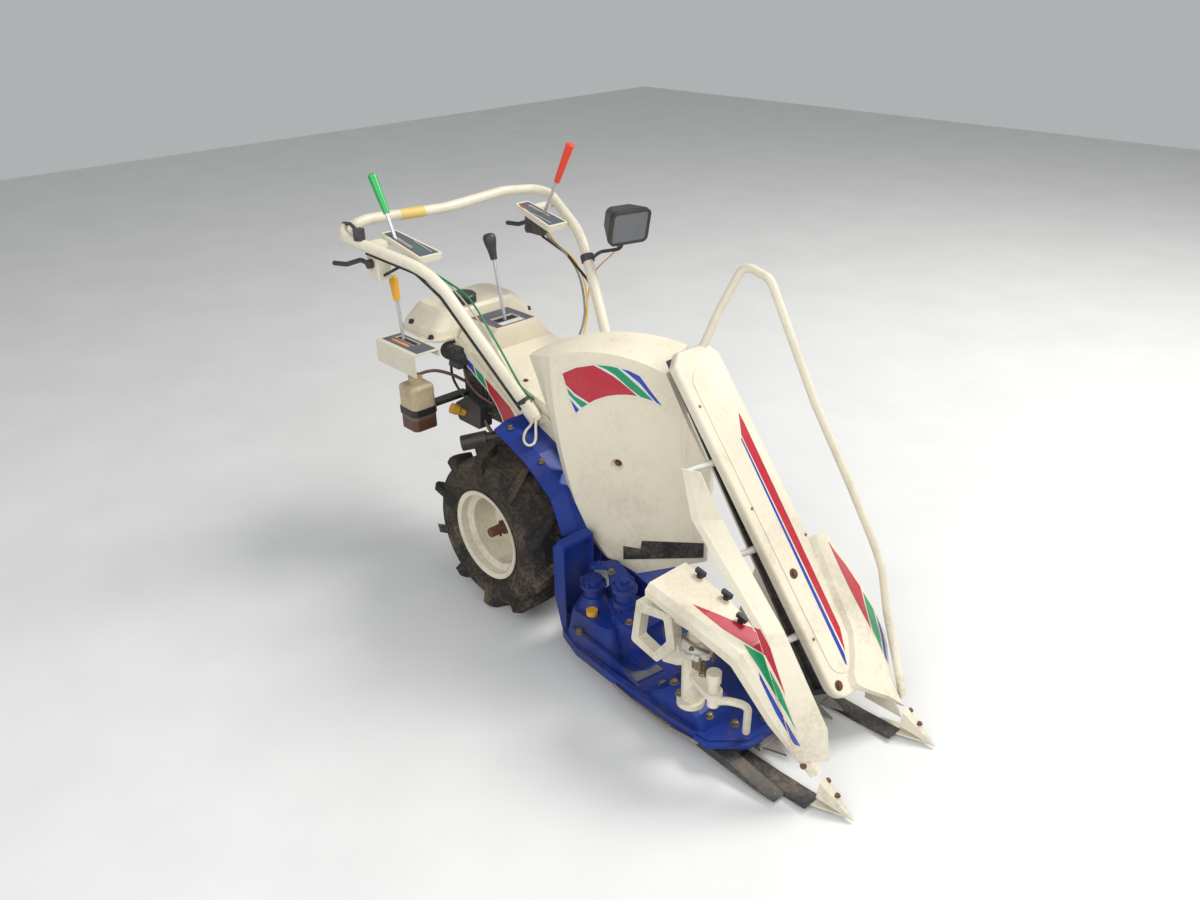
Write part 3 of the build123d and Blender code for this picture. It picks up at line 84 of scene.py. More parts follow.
def add_camera():
    data = bpy.data.cameras.new("view")
    data.sensor_width = SENSOR
    data.lens = LENS
    data.clip_start = NEAREST_SEEN
    cam = new_object("view", data)
    level = math.cos(PITCH)
    look = Vector((level * math.cos(YAW), level * math.sin(YAW), -math.sin(PITCH)))
    right = look.cross(Vector((0, 0, 1))).normalized()
    up = right.cross(look)
    tilted = right * math.cos(ROLL) + up * math.sin(ROLL)
    upright = tilted.cross(look)
    basis = Matrix((tilted, upright, -look)).transposed().to_4x4()
    cam.matrix_world = Matrix.Translation(at(*CAMERA_PLACE)) @ basis
    bpy.context.scene.camera = cam


def add_lights():
    for name, place, size, power, colour in LIGHTS:
        data = bpy.data.lights.new(name, "AREA")
        data.size = size
        data.energy = power
        data.color = colour
        lamp = new_object(name, data)
        lamp.location = place
        lamp.rotation_euler = (LIT_POINT - Vector(place)).to_track_quat("-Z", "Y").to_euler()
    world = bpy.data.worlds.new("studio")
    world.use_nodes = True
    back = world.node_tree.nodes["Background"]
    back.inputs["Color"].default_value = SKY
    back.inputs["Strength"].default_value = SKY_STRENGTH
    bpy.context.scene.world = world
    bpy.context.scene.view_settings.view_transform = "Standard"


# Shader groups: dust, rain stains, worn paint

COLOUR, NUMBER = "NodeSocketColor", "NodeSocketFloat"
GRAIN_SHARE = 0.45    # how much the fine grain adds to the blotches of dust
WEAR_SHARE = 0.13     # how far full wear lifts the pits over the limit


def node(tree, kind, **values):
    made = tree.nodes.new(kind)
    for key, value in values.items():
        setattr(made, key, value)
    return made


def link(tree, a, b):
    tree.links.new(a, b)


def new_group(name, tint, level):
    """A group that takes a colour, a tint and a level and puts out a colour and the tint's mask."""
    tree = bpy.data.node_groups.new(name, "ShaderNodeTree")
    for label, way, kind in (("Color", "INPUT", COLOUR), (tint, "INPUT", COLOUR),
                             (level, "INPUT", NUMBER), ("Color", "OUTPUT", COLOUR),
                             ("Mask", "OUTPUT", NUMBER)):
        tree.interface.new_socket(label, in_out=way, socket_type=kind)
    return tree, node(tree, "NodeGroupInput").outputs


def end_group(tree, given, tint, amount):
    gout = node(tree, "NodeGroupOutput")
    link(tree, blend_colour(tree, amount, given["Color"], given[tint]), gout.inputs["Color"])
    link(tree, amount, gout.inputs["Mask"])
    return tree


def object_coords(tree):
    return node(tree, "ShaderNodeTexCoord").outputs["Object"]


def height_of(tree):
    split = node(tree, "ShaderNodeSeparateXYZ")
    link(tree, object_coords(tree), split.inputs[0])
    return split.outputs["Z"]


def noise(tree, vector, scale, detail, roughness=0.6):
    made = node(tree, "ShaderNodeTexNoise")
    made.inputs["Scale"].default_value = scale
    made.inputs["Detail"].default_value = detail
    made.inputs["Roughness"].default_value = roughness
    link(tree, vector, made.inputs["Vector"])
    return made.outputs["Fac"]


def spread_over(tree, value, low, high, to_low=0.0, to_high=1.0):
    made = node(tree, "ShaderNodeMapRange", interpolation_type="SMOOTHSTEP")
    made.inputs["From Min"].default_value = low
    made.inputs["From Max"].default_value = high
    made.inputs["To Min"].default_value = to_low
    made.inputs["To Max"].default_value = to_high
    link(tree, value, made.inputs["Value"])
    return made.outputs["Result"]


def times(tree, a, b):
    made = node(tree, "ShaderNodeMath", operation="MULTIPLY", use_clamp=True)
    link(tree, a, made.inputs[0])
    link(tree, b, made.inputs[1])
    return made.outputs[0]


def share_added(tree, value, share, base):
    """The value times a share, plus the base."""
    made = node(tree, "ShaderNodeMath", operation="MULTIPLY_ADD")
    made.inputs[1].default_value = share
    link(tree, value, made.inputs[0])
    link(tree, base, made.inputs[2])
    return made.outputs[0]


def blend_colour(tree, factor, a, b):
    made = node(tree, "ShaderNodeMix", data_type="RGBA")
    link(tree, factor, made.inputs["Factor"])
    for value, socket in ((a, "A"), (b, "B")):
        if isinstance(value, tuple):
            made.inputs[socket].default_value = (*value, 1)
        else:
            link(tree, value, made.inputs[socket])
    return made.outputs["Result"]


def grime_group():
    """Dust: blotches with a fine grain, thicker near the ground."""
    tree, given = new_group("grime", "Dirt Color", "Dirt")
    coords = object_coords(tree)
    near_ground = spread_over(tree, height_of(tree), low=0.55, high=0.0, to_low=0.3, to_high=0.85)
    blotches = noise(tree, coords, scale=9.0, detail=6.0, roughness=0.65)
    grain = noise(tree, coords, scale=120.0, detail=3.0)
    both = share_added(tree, grain, GRAIN_SHARE, blotches)
    amount = times(tree, spread_over(tree, both, low=0.62, high=1.02), near_ground)
    return end_group(tree, given, "Dirt Color", times(tree, amount, given["Dirt"]))


def streak_group():
    """Thin stains that run down from above, as rain leaves them on paint."""
    tree, given = new_group("streaks", "Stain Color", "Amount")
    coords = object_coords(tree)
    drawn = node(tree, "ShaderNodeMapping")
    drawn.inputs["Scale"].default_value = (46.0, 46.0, 5.0)
    link(tree, coords, drawn.inputs["Vector"])
    lines = noise(tree, drawn.outputs["Vector"], scale=1.0, detail=3.0, roughness=0.5)
    patches = noise(tree, coords, scale=5.0, detail=2.0)
    amount = times(tree, spread_over(tree, lines, low=0.55, high=0.8),
                   spread_over(tree, patches, low=0.42, high=0.62))
    return end_group(tree, given, "Stain Color", times(tree, amount, given["Amount"]))


def chip_group():
    """Paint worn through in small chips, with rust or bare metal under it."""
    tree, given = new_group("chips", "Under Color", "Wear")
    coords = object_coords(tree)
    pits = noise(tree, coords, scale=46.0, detail=5.0, roughness=0.7)
    zones = noise(tree, coords, scale=7.0, detail=2.0)
    raised = share_added(tree, given["Wear"], WEAR_SHARE, pits)
    amount = times(tree, spread_over(tree, raised, low=0.73, high=0.76),
                   spread_over(tree, zones, low=0.38, high=0.5))
    return end_group(tree, given, "Under Color", amount)


GRIME, STREAKS, CHIPS = grime_group(), streak_group(), chip_group()

# Surfaces

DARKER, LIGHTER = 0.9, 1.06    # the two tones that the colour varies between
DUST_MATTE = 0.4               # how much rougher a covered surface gets
RELIEF_DEPTH = 0.002


def surface(name, colour, rough, metal=0.0, dirt=0.6, dirt_colour=(0.30, 0.24, 0.17), chips=0.0,
            under=(0.2, 0.08, 0.03), streaks=0.0, stain=(0.42, 0.30, 0.16), bump=0.1,
            bump_scale=220.0, coat=0.0, spec=0.5):
    """A painted, moulded or bare surface with tone, dust, rain stains, chips and fine relief."""
    mat = bpy.data.materials.new(name)
    mat.use_nodes = True
    tree = mat.node_tree
    shader = tree.nodes["Principled BSDF"]
    coords = object_coords(tree)
    tone = noise(tree, coords, scale=3.2, detail=4.0)
    last = blend_colour(tree, tone, tuple(c * DARKER for c in colour),
                        tuple(min(1.0, c * LIGHTER) for c in colour))
    mask = None
    for group, tint, label, level, knob in ((CHIPS, under, "Under Color", chips, "Wear"),
                                            (STREAKS, stain, "Stain Color", streaks, "Amount"),
                                            (GRIME, dirt_colour, "Dirt Color", dirt, "Dirt")):
        if level:
            step = node(tree, "ShaderNodeGroup", node_tree=group)
            step.inputs[label].default_value = (*tint, 1)
            step.inputs[knob].default_value = level
            link(tree, last, step.inputs["Color"])
            last, mask = step.outputs["Color"], step.outputs["Mask"]
    link(tree, last, shader.inputs["Base Color"])
    if mask:
        gloss = spread_over(tree, mask, 0.0, 1.0, rough, min(1.0, rough + DUST_MATTE))
        link(tree, gloss, shader.inputs["Roughness"])
    else:
        shader.inputs["Roughness"].default_value = rough
    relief = node(tree, "ShaderNodeBump")
    relief.inputs["Strength"].default_value = bump
    relief.inputs["Distance"].default_value = RELIEF_DEPTH
    link(tree, noise(tree, coords, bump_scale, detail=4.0), relief.inputs["Height"])
    link(tree, relief.outputs["Normal"], shader.inputs["Normal"])
    shader.inputs["Metallic"].default_value = metal
    shader.inputs["Coat Weight"].default_value = coat
    shader.inputs["Specular IOR Level"].default_value = spec
    return mat


MUD = (0.15, 0.108, 0.072)
FILM = dict(dirt=0.35, chips=0.12, under=(0.5, 0.46, 0.36), bump=0.03)
# name: colour, roughness, and what differs from the usual
SURFACES = {
    "cream_paint": ((0.66, 0.61, 0.48), 0.36, dict(dirt=0.75, chips=0.35, streaks=0.3, bump=0.06)),
    "cream_plastic": ((0.69, 0.63, 0.49), 0.40, dict(dirt=0.65, streaks=0.35, bump=0.05)),
    "blue_paint": ((0.005, 0.027, 0.205), 0.44, dict(
        dirt=0.9, dirt_colour=(0.07, 0.06, 0.06), chips=0.3, under=(0.10, 0.07, 0.05), bump=0.08,
        spec=0.3)),
    "tyre_rubber": ((0.020, 0.019, 0.018), 0.85, dict(
        dirt=1.7, dirt_colour=MUD, streaks=0.5, stain=(0.10, 0.075, 0.055), bump=0.6, bump_scale=90,
        spec=0.25)),
    "black_rubber": ((0.02, 0.02, 0.022), 0.7, dict(dirt=0.7, bump=0.25, spec=0.3)),
    "black_plastic": ((0.016, 0.016, 0.018), 0.45, dict(dirt=0.4, bump=0.15)),
    "white_plastic": ((0.56, 0.55, 0.51), 0.5, dict(dirt=1.0, streaks=0.5, bump=0.08)),
    "dark_steel": ((0.03, 0.03, 0.034), 0.5, dict(
        dirt=1.0, dirt_colour=(0.2, 0.15, 0.1), chips=0.3, under=(0.22, 0.10, 0.05), bump=0.15)),
    "bright_steel": ((0.34, 0.31, 0.28), 0.42, dict(
        metal=0.8, dirt=0.8, dirt_colour=(0.2, 0.11, 0.06), chips=0.7, under=(0.25, 0.12, 0.06),
        bump=0.15)),
    "engine_cast": ((0.03, 0.03, 0.033), 0.6, dict(
        dirt=0.9, dirt_colour=(0.12, 0.09, 0.065), bump=0.5, bump_scale=300)),
    "grey_panel": ((0.66, 0.61, 0.48), 0.42, dict(dirt=0.5, streaks=0.2, bump=0.05)),
    "green_plastic": ((0.01, 0.36, 0.07), 0.35, dict(dirt=0.25, bump=0.05, coat=0.2)),
    "red_plastic": ((0.72, 0.05, 0.02), 0.35, dict(dirt=0.25, bump=0.05, coat=0.2)),
    "yellow_plastic": ((0.66, 0.34, 0.02), 0.4, dict(dirt=0.3, bump=0.05)),
    "bottle_plastic": ((0.46, 0.38, 0.24), 0.45, dict(
        dirt=1.3, dirt_colour=(0.16, 0.08, 0.04), streaks=0.8, stain=(0.22, 0.11, 0.05),
        bump=0.05)),
    "lamp_glass": ((0.10, 0.11, 0.12), 0.14, dict(dirt=0.35, bump=0.25, bump_scale=160, coat=0.5)),
    "film_red": ((0.42, 0.012, 0.03), 0.32, FILM),
    "film_green": ((0.0, 0.25, 0.10), 0.32, FILM),
    "film_blue": ((0.012, 0.04, 0.32), 0.32, FILM),
    "film_white": ((0.62, 0.63, 0.60), 0.32, dict(dirt=0.3, bump=0.03)),
    "film_slate": ((0.075, 0.085, 0.11), 0.42, dict(
        dirt=0.6, chips=0.3, under=(0.3, 0.28, 0.24), bump=0.05)),
    "film_orange": ((0.78, 0.25, 0.03), 0.35, dict(dirt=0.2, bump=0.03)),
    "tape_yellow": ((0.66, 0.47, 0.13), 0.5, dict(
        dirt=0.6, chips=0.8, under=(0.6, 0.55, 0.42), bump=0.1)),
    "zinc": ((0.24, 0.19, 0.12), 0.45, dict(
        metal=0.7, dirt=0.9, dirt_colour=(0.2, 0.12, 0.06), chips=0.6, under=(0.22, 0.10, 0.05),
        bump=0.1)),
    "bright_rod": ((0.52, 0.53, 0.55), 0.34, dict(
        metal=0.6, dirt=0.6, chips=0.2, under=(0.25, 0.16, 0.10), bump=0.05)),
    "rust": ((0.13, 0.055, 0.03), 0.8, dict(
        metal=0.2, dirt=0.7, dirt_colour=(0.2, 0.12, 0.07), bump=0.5)),
    "hose_brown": ((0.09, 0.045, 0.03), 0.6, dict(dirt=0.6, bump=0.15)),
    "cable_green": ((0.0, 0.20, 0.06), 0.4, dict(dirt=0.3, bump=0.04)),
    "cable_yellow": ((0.68, 0.42, 0.03), 0.4, dict(dirt=0.4, bump=0.04)),
    "cable_orange": ((0.75, 0.32, 0.06), 0.4, dict(dirt=0.3, bump=0.04)),
    "cable_grey": ((0.20, 0.20, 0.19), 0.5, dict(dirt=0.5, bump=0.06)),
    "cable_white": ((0.60, 0.57, 0.47), 0.45, dict(dirt=0.5, bump=0.04)),
    # a near-black colour painted in and under slots as the shade inside them
    "painted_hole_shade": ((0.012, 0.012, 0.012), 0.8, dict(dirt=0.3, bump=0.05)),
}
MATS = {name: surface(name, colour, rough, **rest)
        for name, (colour, rough, rest) in SURFACES.items()}
SLOTS = {row["node"]: row["material_slot"] for row in frame["record"]["subparts"]}
OWN_FINISH = {"left_axle": "rust", "right_axle": "rust", "lever_rods": "bright_rod"}
OIL_FROM, OIL_TO, OIL_COLOUR = 0.396, 0.436, (0.085, 0.04, 0.025)


def oil_level():
    """Old oil that shows through the bottle's wall up to its level."""
    tree = MATS["bottle_plastic"].node_tree
    shader = tree.nodes["Principled BSDF"]
    above = shader.inputs["Base Color"].links[0].from_socket
    filled = spread_over(tree, height_of(tree), OIL_TO, OIL_FROM)
    link(tree, blend_colour(tree, filled, above, OIL_COLOUR), shader.inputs["Base Color"])


def dress_nodes():
    for name, obj in frame["nodes"].items():
        mat = MATS[OWN_FINISH.get(name, SLOTS[name])]
        if not obj.data.materials:
            obj.data.materials.append(mat)
        for slot_index in range(len(obj.data.materials)):
            obj.data.materials[slot_index] = mat


# Directions, and the ways of laying a thing on: where it lies, which way it faces, what is under

UP = Vector((0, 0, 1))
LEFT = Vector((0, 1, 0))
AHEAD = Vector((1, 0, 0))
COVER_TURN = math.radians(28)
COVER_RUN = Vector((math.cos(COVER_TURN), math.sin(COVER_TURN), 0))
COVER_OUT = Vector((math.sin(COVER_TURN), -math.cos(COVER_TURN), 0))
CASE_TILT = math.radians(37.6)
CASE_DOWN = Vector((math.sin(CASE_TILT), 0, -math.cos(CASE_TILT)))
CASE_OUT = Vector((math.cos(CASE_TILT), 0, math.sin(CASE_TILT)))
CONSOLE_SLOPE = math.radians(10.5)
CONSOLE_RUN = Vector((-math.cos(CONSOLE_SLOPE), 0, math.sin(CONSOLE_SLOPE)))
CONSOLE_UP = Vector((math.sin(CONSOLE_SLOPE), 0, math.cos(CONSOLE_SLOPE)))
CONSOLE_HEIGHT = 0.015
NOSE_VIEW = Vector((0.35, -0.7, 0.62)).normalized()
FLAP_VIEW = Vector((0.7, 0.45, 0.55)).normalized()


def on_cover(run, height):
    return mm(180, 100, height) + COVER_RUN * run / 1000


def on_case(down, y):
    return mm(414, y, 728) + CASE_DOWN * down / 1000


def on_console(run, y):
    return mm(-256, y, 812) + CONSOLE_RUN * run / 1000 + CONSOLE_UP * CONSOLE_HEIGHT


def at_height(z):
    return lambda x, y: mm(x, y, z)


COVER = (on_cover, COVER_OUT, ["binder_cover"])
CASE = (on_case, CASE_OUT, ["pickup_case"])
CONSOLE = (on_console, CONSOLE_UP, ["lever_consoles"])
GATE = (at_height(624), UP, ["shift_gate"])
REAR = (at_height(590), UP, ["rear_console"])
DECK_STEP = (at_height(56), UP, ["header_gearcase", "deck", "knotter_frame"])
NOSE = (mm, NOSE_VIEW, ["knotter_cover", "dividers"])
FLAP = (mm, FLAP_VIEW, ["dividers"])


def from_above(*nodes):
    return mm, UP, nodes


# Making pieces; lengths are in metres

SHARP_ANGLE, FOLD_ANGLE = math.radians(35), math.radians(50)
FILM_THICKNESS, FILM_LIFT, FILM_STEP = 0.0003, 0.00035, 0.006
RIM_SHARE = 0.5          # inner points keep this share of a step from the outline
NEARLY_UPRIGHT = 0.01
RAY_START = 0.3
SAME_PLACE, ON_PLANE = 0.00005, 1e-7
SEEK_FROM, SUNK = 0.05, 0.0002
SPLINE_ORDER, SPLINE_STEPS = 3, 10
TREES = {}               # the nodes' faces, kept for the next search


def finish(name, mesh, look, body=CHASSIS):
    """One finished piece: its mesh in place, one material, riding on its body."""
    mesh.materials.clear()
    mesh.materials.append(MATS[look])
    for polygon in mesh.polygons:
        polygon.use_smooth = True
        polygon.material_index = 0
    mesh.set_sharp_from_angle(angle=SHARP_ANGLE)
    piece = new_object(name, mesh)
    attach(piece, body)
    return piece


def finish_mesh(name, bm, look):
    bmesh.ops.recalc_face_normals(bm, faces=bm.faces[:])
    mesh = bpy.data.meshes.new(name)
    bm.to_mesh(mesh)
    bm.free()
    return finish(name, mesh, look)


def baked(holder, name):
    """The holder's evaluated mesh; the holder goes."""
    shown = holder.evaluated_get(bpy.context.evaluated_depsgraph_get())
    made = bpy.data.meshes.new_from_object(shown)
    holder.modifiers.clear()
    bpy.data.objects.remove(holder)
    made.name = name
    return made


def first_face(start, way, on):
    """Where a line first meets one of the nodes, and which node that is."""
    best = None
    for target in on:
        if target not in TREES:
            mesh = frame["nodes"][target].data
            TREES[target] = BVHTree.FromPolygons([v.co for v in mesh.vertices],
                                                 [tuple(p.vertices) for p in mesh.polygons])
        place, _, _, far = TREES[target].ray_cast(start, way)
        if place and (best is None or far < best[1]):
            best = (place, far, target)
    return (best[0], best[2]) if best else (None, None)


def inside(loop, p):
    hit = False
    for a, b in zip(loop, loop[1:] + loop[:1]):
        if (a.y > p.y) != (b.y > p.y) and p.x < (b.x - a.x) * (p.y - a.y) / (b.y - a.y) + a.x:
            hit = not hit
    return hit


def split_loop(loop, step):
    out = []
    for a, b in zip(loop, loop[1:] + loop[:1]):
        parts = max(1, round((b - a).length / step))
        out += [a.lerp(b, i / parts) for i in range(parts)]
    return out


def close_shell(bm, under):
    """Gives an open sheet its back and walls, from each vertex's partner under it."""
    sheet = list(bm.faces)
    for face in sheet:
        bm.faces.new([under[v] for v in reversed(face.verts)])
    for edge in [e for e in bm.edges if len(e.link_faces) == 1 and e.link_faces[0] in sheet]:
        a, b = edge.verts
        bm.faces.new([a, b, under[b], under[a]])


def film(name, view, loop, look, slot, lift=FILM_LIFT, holes=(), step=FILM_STEP, kept=None):
    """A thin printed film: an outline seen along one direction, laid onto the faces behind it."""
    place, facing, on = view
    facing = facing.normalized()
    across = UP.cross(facing)
    across = AHEAD if across.length < NEARLY_UPRIGHT else across.normalized()
    along = facing.cross(across)
    flat = lambda p: Vector((p.dot(across), p.dot(along)))
    loops = [split_loop([flat(place(*p)) for p in edge], step) for edge in (loop, *holes)]
    wanted = lambda p: inside(loops[0], p) and not any(inside(hole, p) for hole in loops[1:])
    points, edges = [], []
    for rim in loops:
        first, count = len(points), len(rim)
        points += rim
        edges += [(first + i, first + (i + 1) % count) for i in range(count)]
    rims = list(points)
    xs, ys = [p.x for p in loops[0]], [p.y for p in loops[0]]
    for i in range(int((max(xs) - min(xs)) / step) + 2):
        for j in range(int((max(ys) - min(ys)) / step) + 2):
            p = Vector((min(xs) + i * step, min(ys) + j * step))
            if wanted(p) and min((p - q).length for q in rims) > step * RIM_SHARE:
                points.append(p)
    verts, _, faces, *_ = delaunay_2d_cdt(points, edges, [], 0, ON_PLANE)
    depth = max(place(*p).dot(facing) for p in loop) + RAY_START
    bm = bmesh.new()
    placed = []
    for p in verts:
        spot, node_name = first_face(across * p.x + along * p.y + facing * depth, -facing, on)
        laid = spot and kept in (None, node_name)
        placed.append(bm.verts.new(spot + facing * lift) if laid else None)
    for face in faces:
        middle = sum((Vector(verts[i]) for i in face), Vector((0, 0))) / len(face)
        if wanted(middle) and all(placed[i] for i in face):
            bm.faces.new([placed[i] for i in face])
    bmesh.ops.delete(bm, geom=[v for v in bm.verts if not v.link_faces], context="VERTS")
    close_shell(bm, {v: bm.verts.new(v.co - facing * FILM_THICKNESS) for v in list(bm.verts)})
    return finish_mesh(name, bm, look)


def films(view, slot, rows, **options):
    for name, look, lift, loop, *holes in rows:
        film(name, view, loop, look, slot, lift, holes, **options)


def sleeve(name, on, middle, axis, look, length, reach, lift, thickness):
    """A band round a round bar: the bar's own faces between two planes, moved out by a little."""
    axis = Vector(axis).normalized()
    bm = bmesh.new()
    bm.from_mesh(frame["nodes"][on].data)
    bmesh.ops.remove_doubles(bm, verts=bm.verts[:], dist=SAME_PLACE)
    for side in (-1, 1):
        bmesh.ops.bisect_plane(bm, geom=bm.verts[:] + bm.edges[:] + bm.faces[:], dist=ON_PLANE,
                               plane_co=middle + axis * side * length / 2, plane_no=axis * side,
                               clear_outer=True)
    far = [f for f in bm.faces if (f.calc_center_median() - middle).length > reach]
    bmesh.ops.delete(bm, geom=far, context="FACES")
    bmesh.ops.recalc_face_normals(bm, faces=bm.faces[:])
    bm.normal_update()
    centre = sum((v.co for v in bm.verts), Vector()) / len(bm.verts)
    if sum(f.normal.dot(f.calc_center_median() - centre) for f in bm.faces) < 0:
        bmesh.ops.reverse_faces(bm, faces=bm.faces[:])
        bm.normal_update()
    moves = [(v, v.normal.copy()) for v in bm.verts]
    inner = {v: bm.verts.new(v.co + way * lift) for v, way in moves}
    for vert, way in moves:
        vert.co += way * (lift + thickness)
    close_shell(bm, inner)
    return finish_mesh(name, bm, look)


def tube(name, radius, look, slot, places, sides=5):
    """A bent wire, cable or hose along a smooth line through control points in millimetres."""
    curve = bpy.data.curves.new(name, "CURVE")
    curve.dimensions = "3D"
    curve.bevel_depth = radius
    curve.bevel_resolution = sides
    curve.use_fill_caps = True
    spline = curve.splines.new("NURBS")
    spline.points.add(len(places) - 1)
    for spot, place in zip(spline.points, places):
        spot.co = (*mm(*place), 1)
    spline.order_u = SPLINE_ORDER
    spline.use_endpoint_u = True
    spline.resolution_u = SPLINE_STEPS
    return finish(name, baked(new_object(name + "_line", curve), name), look)


HEAD_SIZES = ("Head Radius", "Head Height", "Washer Radius", "Washer Thickness")
WASHER_SIDES, CROWN_SIDES = 20, 12
WASHER_TOP, CROWN_FOOT, CROWN_TOP, CROWN_HEIGHT = 0.94, 0.86, 0.55, 0.22


def fastener_tree(name, sides):
    """Heads on points: a washer, a head with its sides and a turned top, facing the stored way."""
    tree = bpy.data.node_groups.new(name, "GeometryNodeTree")
    face = tree.interface
    face.new_socket("Geometry", in_out="INPUT", socket_type="NodeSocketGeometry")
    for label in HEAD_SIZES:
        face.new_socket(label, in_out="INPUT", socket_type="NodeSocketFloat")
    face.new_socket("Material", in_out="INPUT", socket_type="NodeSocketMaterial")
    face.new_socket("Geometry", in_out="OUTPUT", socket_type="NodeSocketGeometry")
    given, gout = node(tree, "NodeGroupInput").outputs, node(tree, "NodeGroupOutput")

    def lathe(count, low, high, height, foot):
        cone = node(tree, "GeometryNodeMeshCone")
        cone.inputs["Vertices"].default_value = count
        link(tree, low, cone.inputs["Radius Bottom"])
        link(tree, high, cone.inputs["Radius Top"])
        link(tree, height, cone.inputs["Depth"])
        moved = node(tree, "GeometryNodeTransform")
        link(tree, cone.outputs["Mesh"], moved.inputs["Geometry"])
        shift = node(tree, "ShaderNodeCombineXYZ")
        if foot is not None:
            link(tree, foot, shift.inputs["Z"])
        link(tree, shift.outputs[0], moved.inputs["Translation"])
        return moved.outputs["Geometry"]

    def scaled(value, factor):
        made = node(tree, "ShaderNodeMath", operation="MULTIPLY")
        link(tree, value, made.inputs[0])
        made.inputs[1].default_value = factor
        return made.outputs[0]

    head_r, head_h, wash_r, wash_t = [given[label] for label in HEAD_SIZES]
    head_top = node(tree, "ShaderNodeMath", operation="ADD")
    link(tree, wash_t, head_top.inputs[0])
    link(tree, head_h, head_top.inputs[1])
    joined = node(tree, "GeometryNodeJoinGeometry")
    washer = lathe(WASHER_SIDES, wash_r, scaled(wash_r, WASHER_TOP), wash_t, None)
    head = lathe(sides, head_r, head_r, head_h, wash_t)
    crown = lathe(max(sides, CROWN_SIDES), scaled(head_r, CROWN_FOOT), scaled(head_r, CROWN_TOP),
                  scaled(head_h, CROWN_HEIGHT), head_top.outputs[0])
    for shape in (washer, head, crown):
        link(tree, shape, joined.inputs[0])
    facing = node(tree, "GeometryNodeInputNamedAttribute", data_type="FLOAT_VECTOR")
    facing.inputs["Name"].default_value = "facing"
    turn = node(tree, "FunctionNodeAlignRotationToVector", axis="Z")
    link(tree, facing.outputs["Attribute"], turn.inputs["Vector"])
    spread = node(tree, "GeometryNodeInstanceOnPoints")
    link(tree, given["Geometry"], spread.inputs["Points"])
    link(tree, joined.outputs[0], spread.inputs["Instance"])
    link(tree, turn.outputs["Rotation"], spread.inputs["Rotation"])
    real = node(tree, "GeometryNodeRealizeInstances")
    link(tree, spread.outputs["Instances"], real.inputs["Geometry"])
    dressed = node(tree, "GeometryNodeSetMaterial")
    link(tree, real.outputs["Geometry"], dressed.inputs["Geometry"])
    link(tree, given["Material"], dressed.inputs["Material"])
    link(tree, dressed.outputs["Geometry"], gout.inputs[0])
    return tree


HEX, ROUND = fastener_tree("hex_heads", 6), fastener_tree("round_heads", 16)


def fasteners(name, tree, sizes, look, slot, spots, body=CHASSIS):
    """Bolts or rivets at spots (place, facing, nodes under), as one mesh; sizes as HEAD_SIZES."""
    mesh = bpy.data.meshes.new(name + "_spots")
    seated = [(first_face(place + way * SEEK_FROM, -way, on)[0], way) for place, way, on in spots]
    seated = [(place, way) for place, way in seated if place]
    mesh.from_pydata([place - way * SUNK for place, way in seated], [], [])
    stored = mesh.attributes.new("facing", "FLOAT_VECTOR", "POINT")
    stored.data.foreach_set("vector", [v for _, way in seated for v in way])
    holder = new_object(name + "_holder", mesh)
    modifier = holder.modifiers.new("heads", "NODES")
    modifier.node_group = tree
    keys = {item.name: item.identifier
            for item in tree.interface.items_tree if item.in_out == "INPUT"}
    for label, value in zip(HEAD_SIZES, sizes):
        modifier[keys[label]] = value
    modifier[keys["Material"]] = MATS[look]
    return finish(name, baked(holder, name), look, body)


def spots_on(view, places):
    place, facing, on = view
    return [(place(*p), facing, on) for p in places]


def plate(name, outline, origin, along, look, thickness, bevel):
    """A flat sheet with rounded edges; its outline runs ahead (u) and along the given way (v)."""
    bm = bmesh.new()
    verts = [bm.verts.new(origin + AHEAD * u + along * v) for u, v in outline]
    bm.faces.new(verts)
    depth = AHEAD.cross(along) * thickness
    close_shell(bm, {v: bm.verts.new(v.co + depth) for v in verts})
    bmesh.ops.recalc_face_normals(bm, faces=bm.faces[:])
    if bevel:
        bm.normal_update()
        sharp = [e for e in bm.edges
                 if len(e.link_faces) == 2 and e.calc_face_angle(0) > FOLD_ANGLE]
        bmesh.ops.bevel(bm, geom=sharp, offset=bevel, segments=2, affect="EDGES",
                        clamp_overlap=True)
    return finish_mesh(name, bm, look)


def metres(loop):
    return [(u / 1000, v / 1000) for u, v in loop]


def box(x0, y0, x1, y1):
    return [(x0, y0), (x1, y0), (x1, y1), (x0, y1)]


# Coloured bands and panels; each row has a name, a look, a lift and the outline

BED_LIFT, SHADE_LIFT, PANEL_LIFT, BAND_LIFT = 0.0002, 0.0003, 0.0004, 0.0005
NOSE_LIFT, MARK_LIFT = 0.0006, 0.0007
NOSE_STEP, FINE_STEP = 0.0022, 0.003


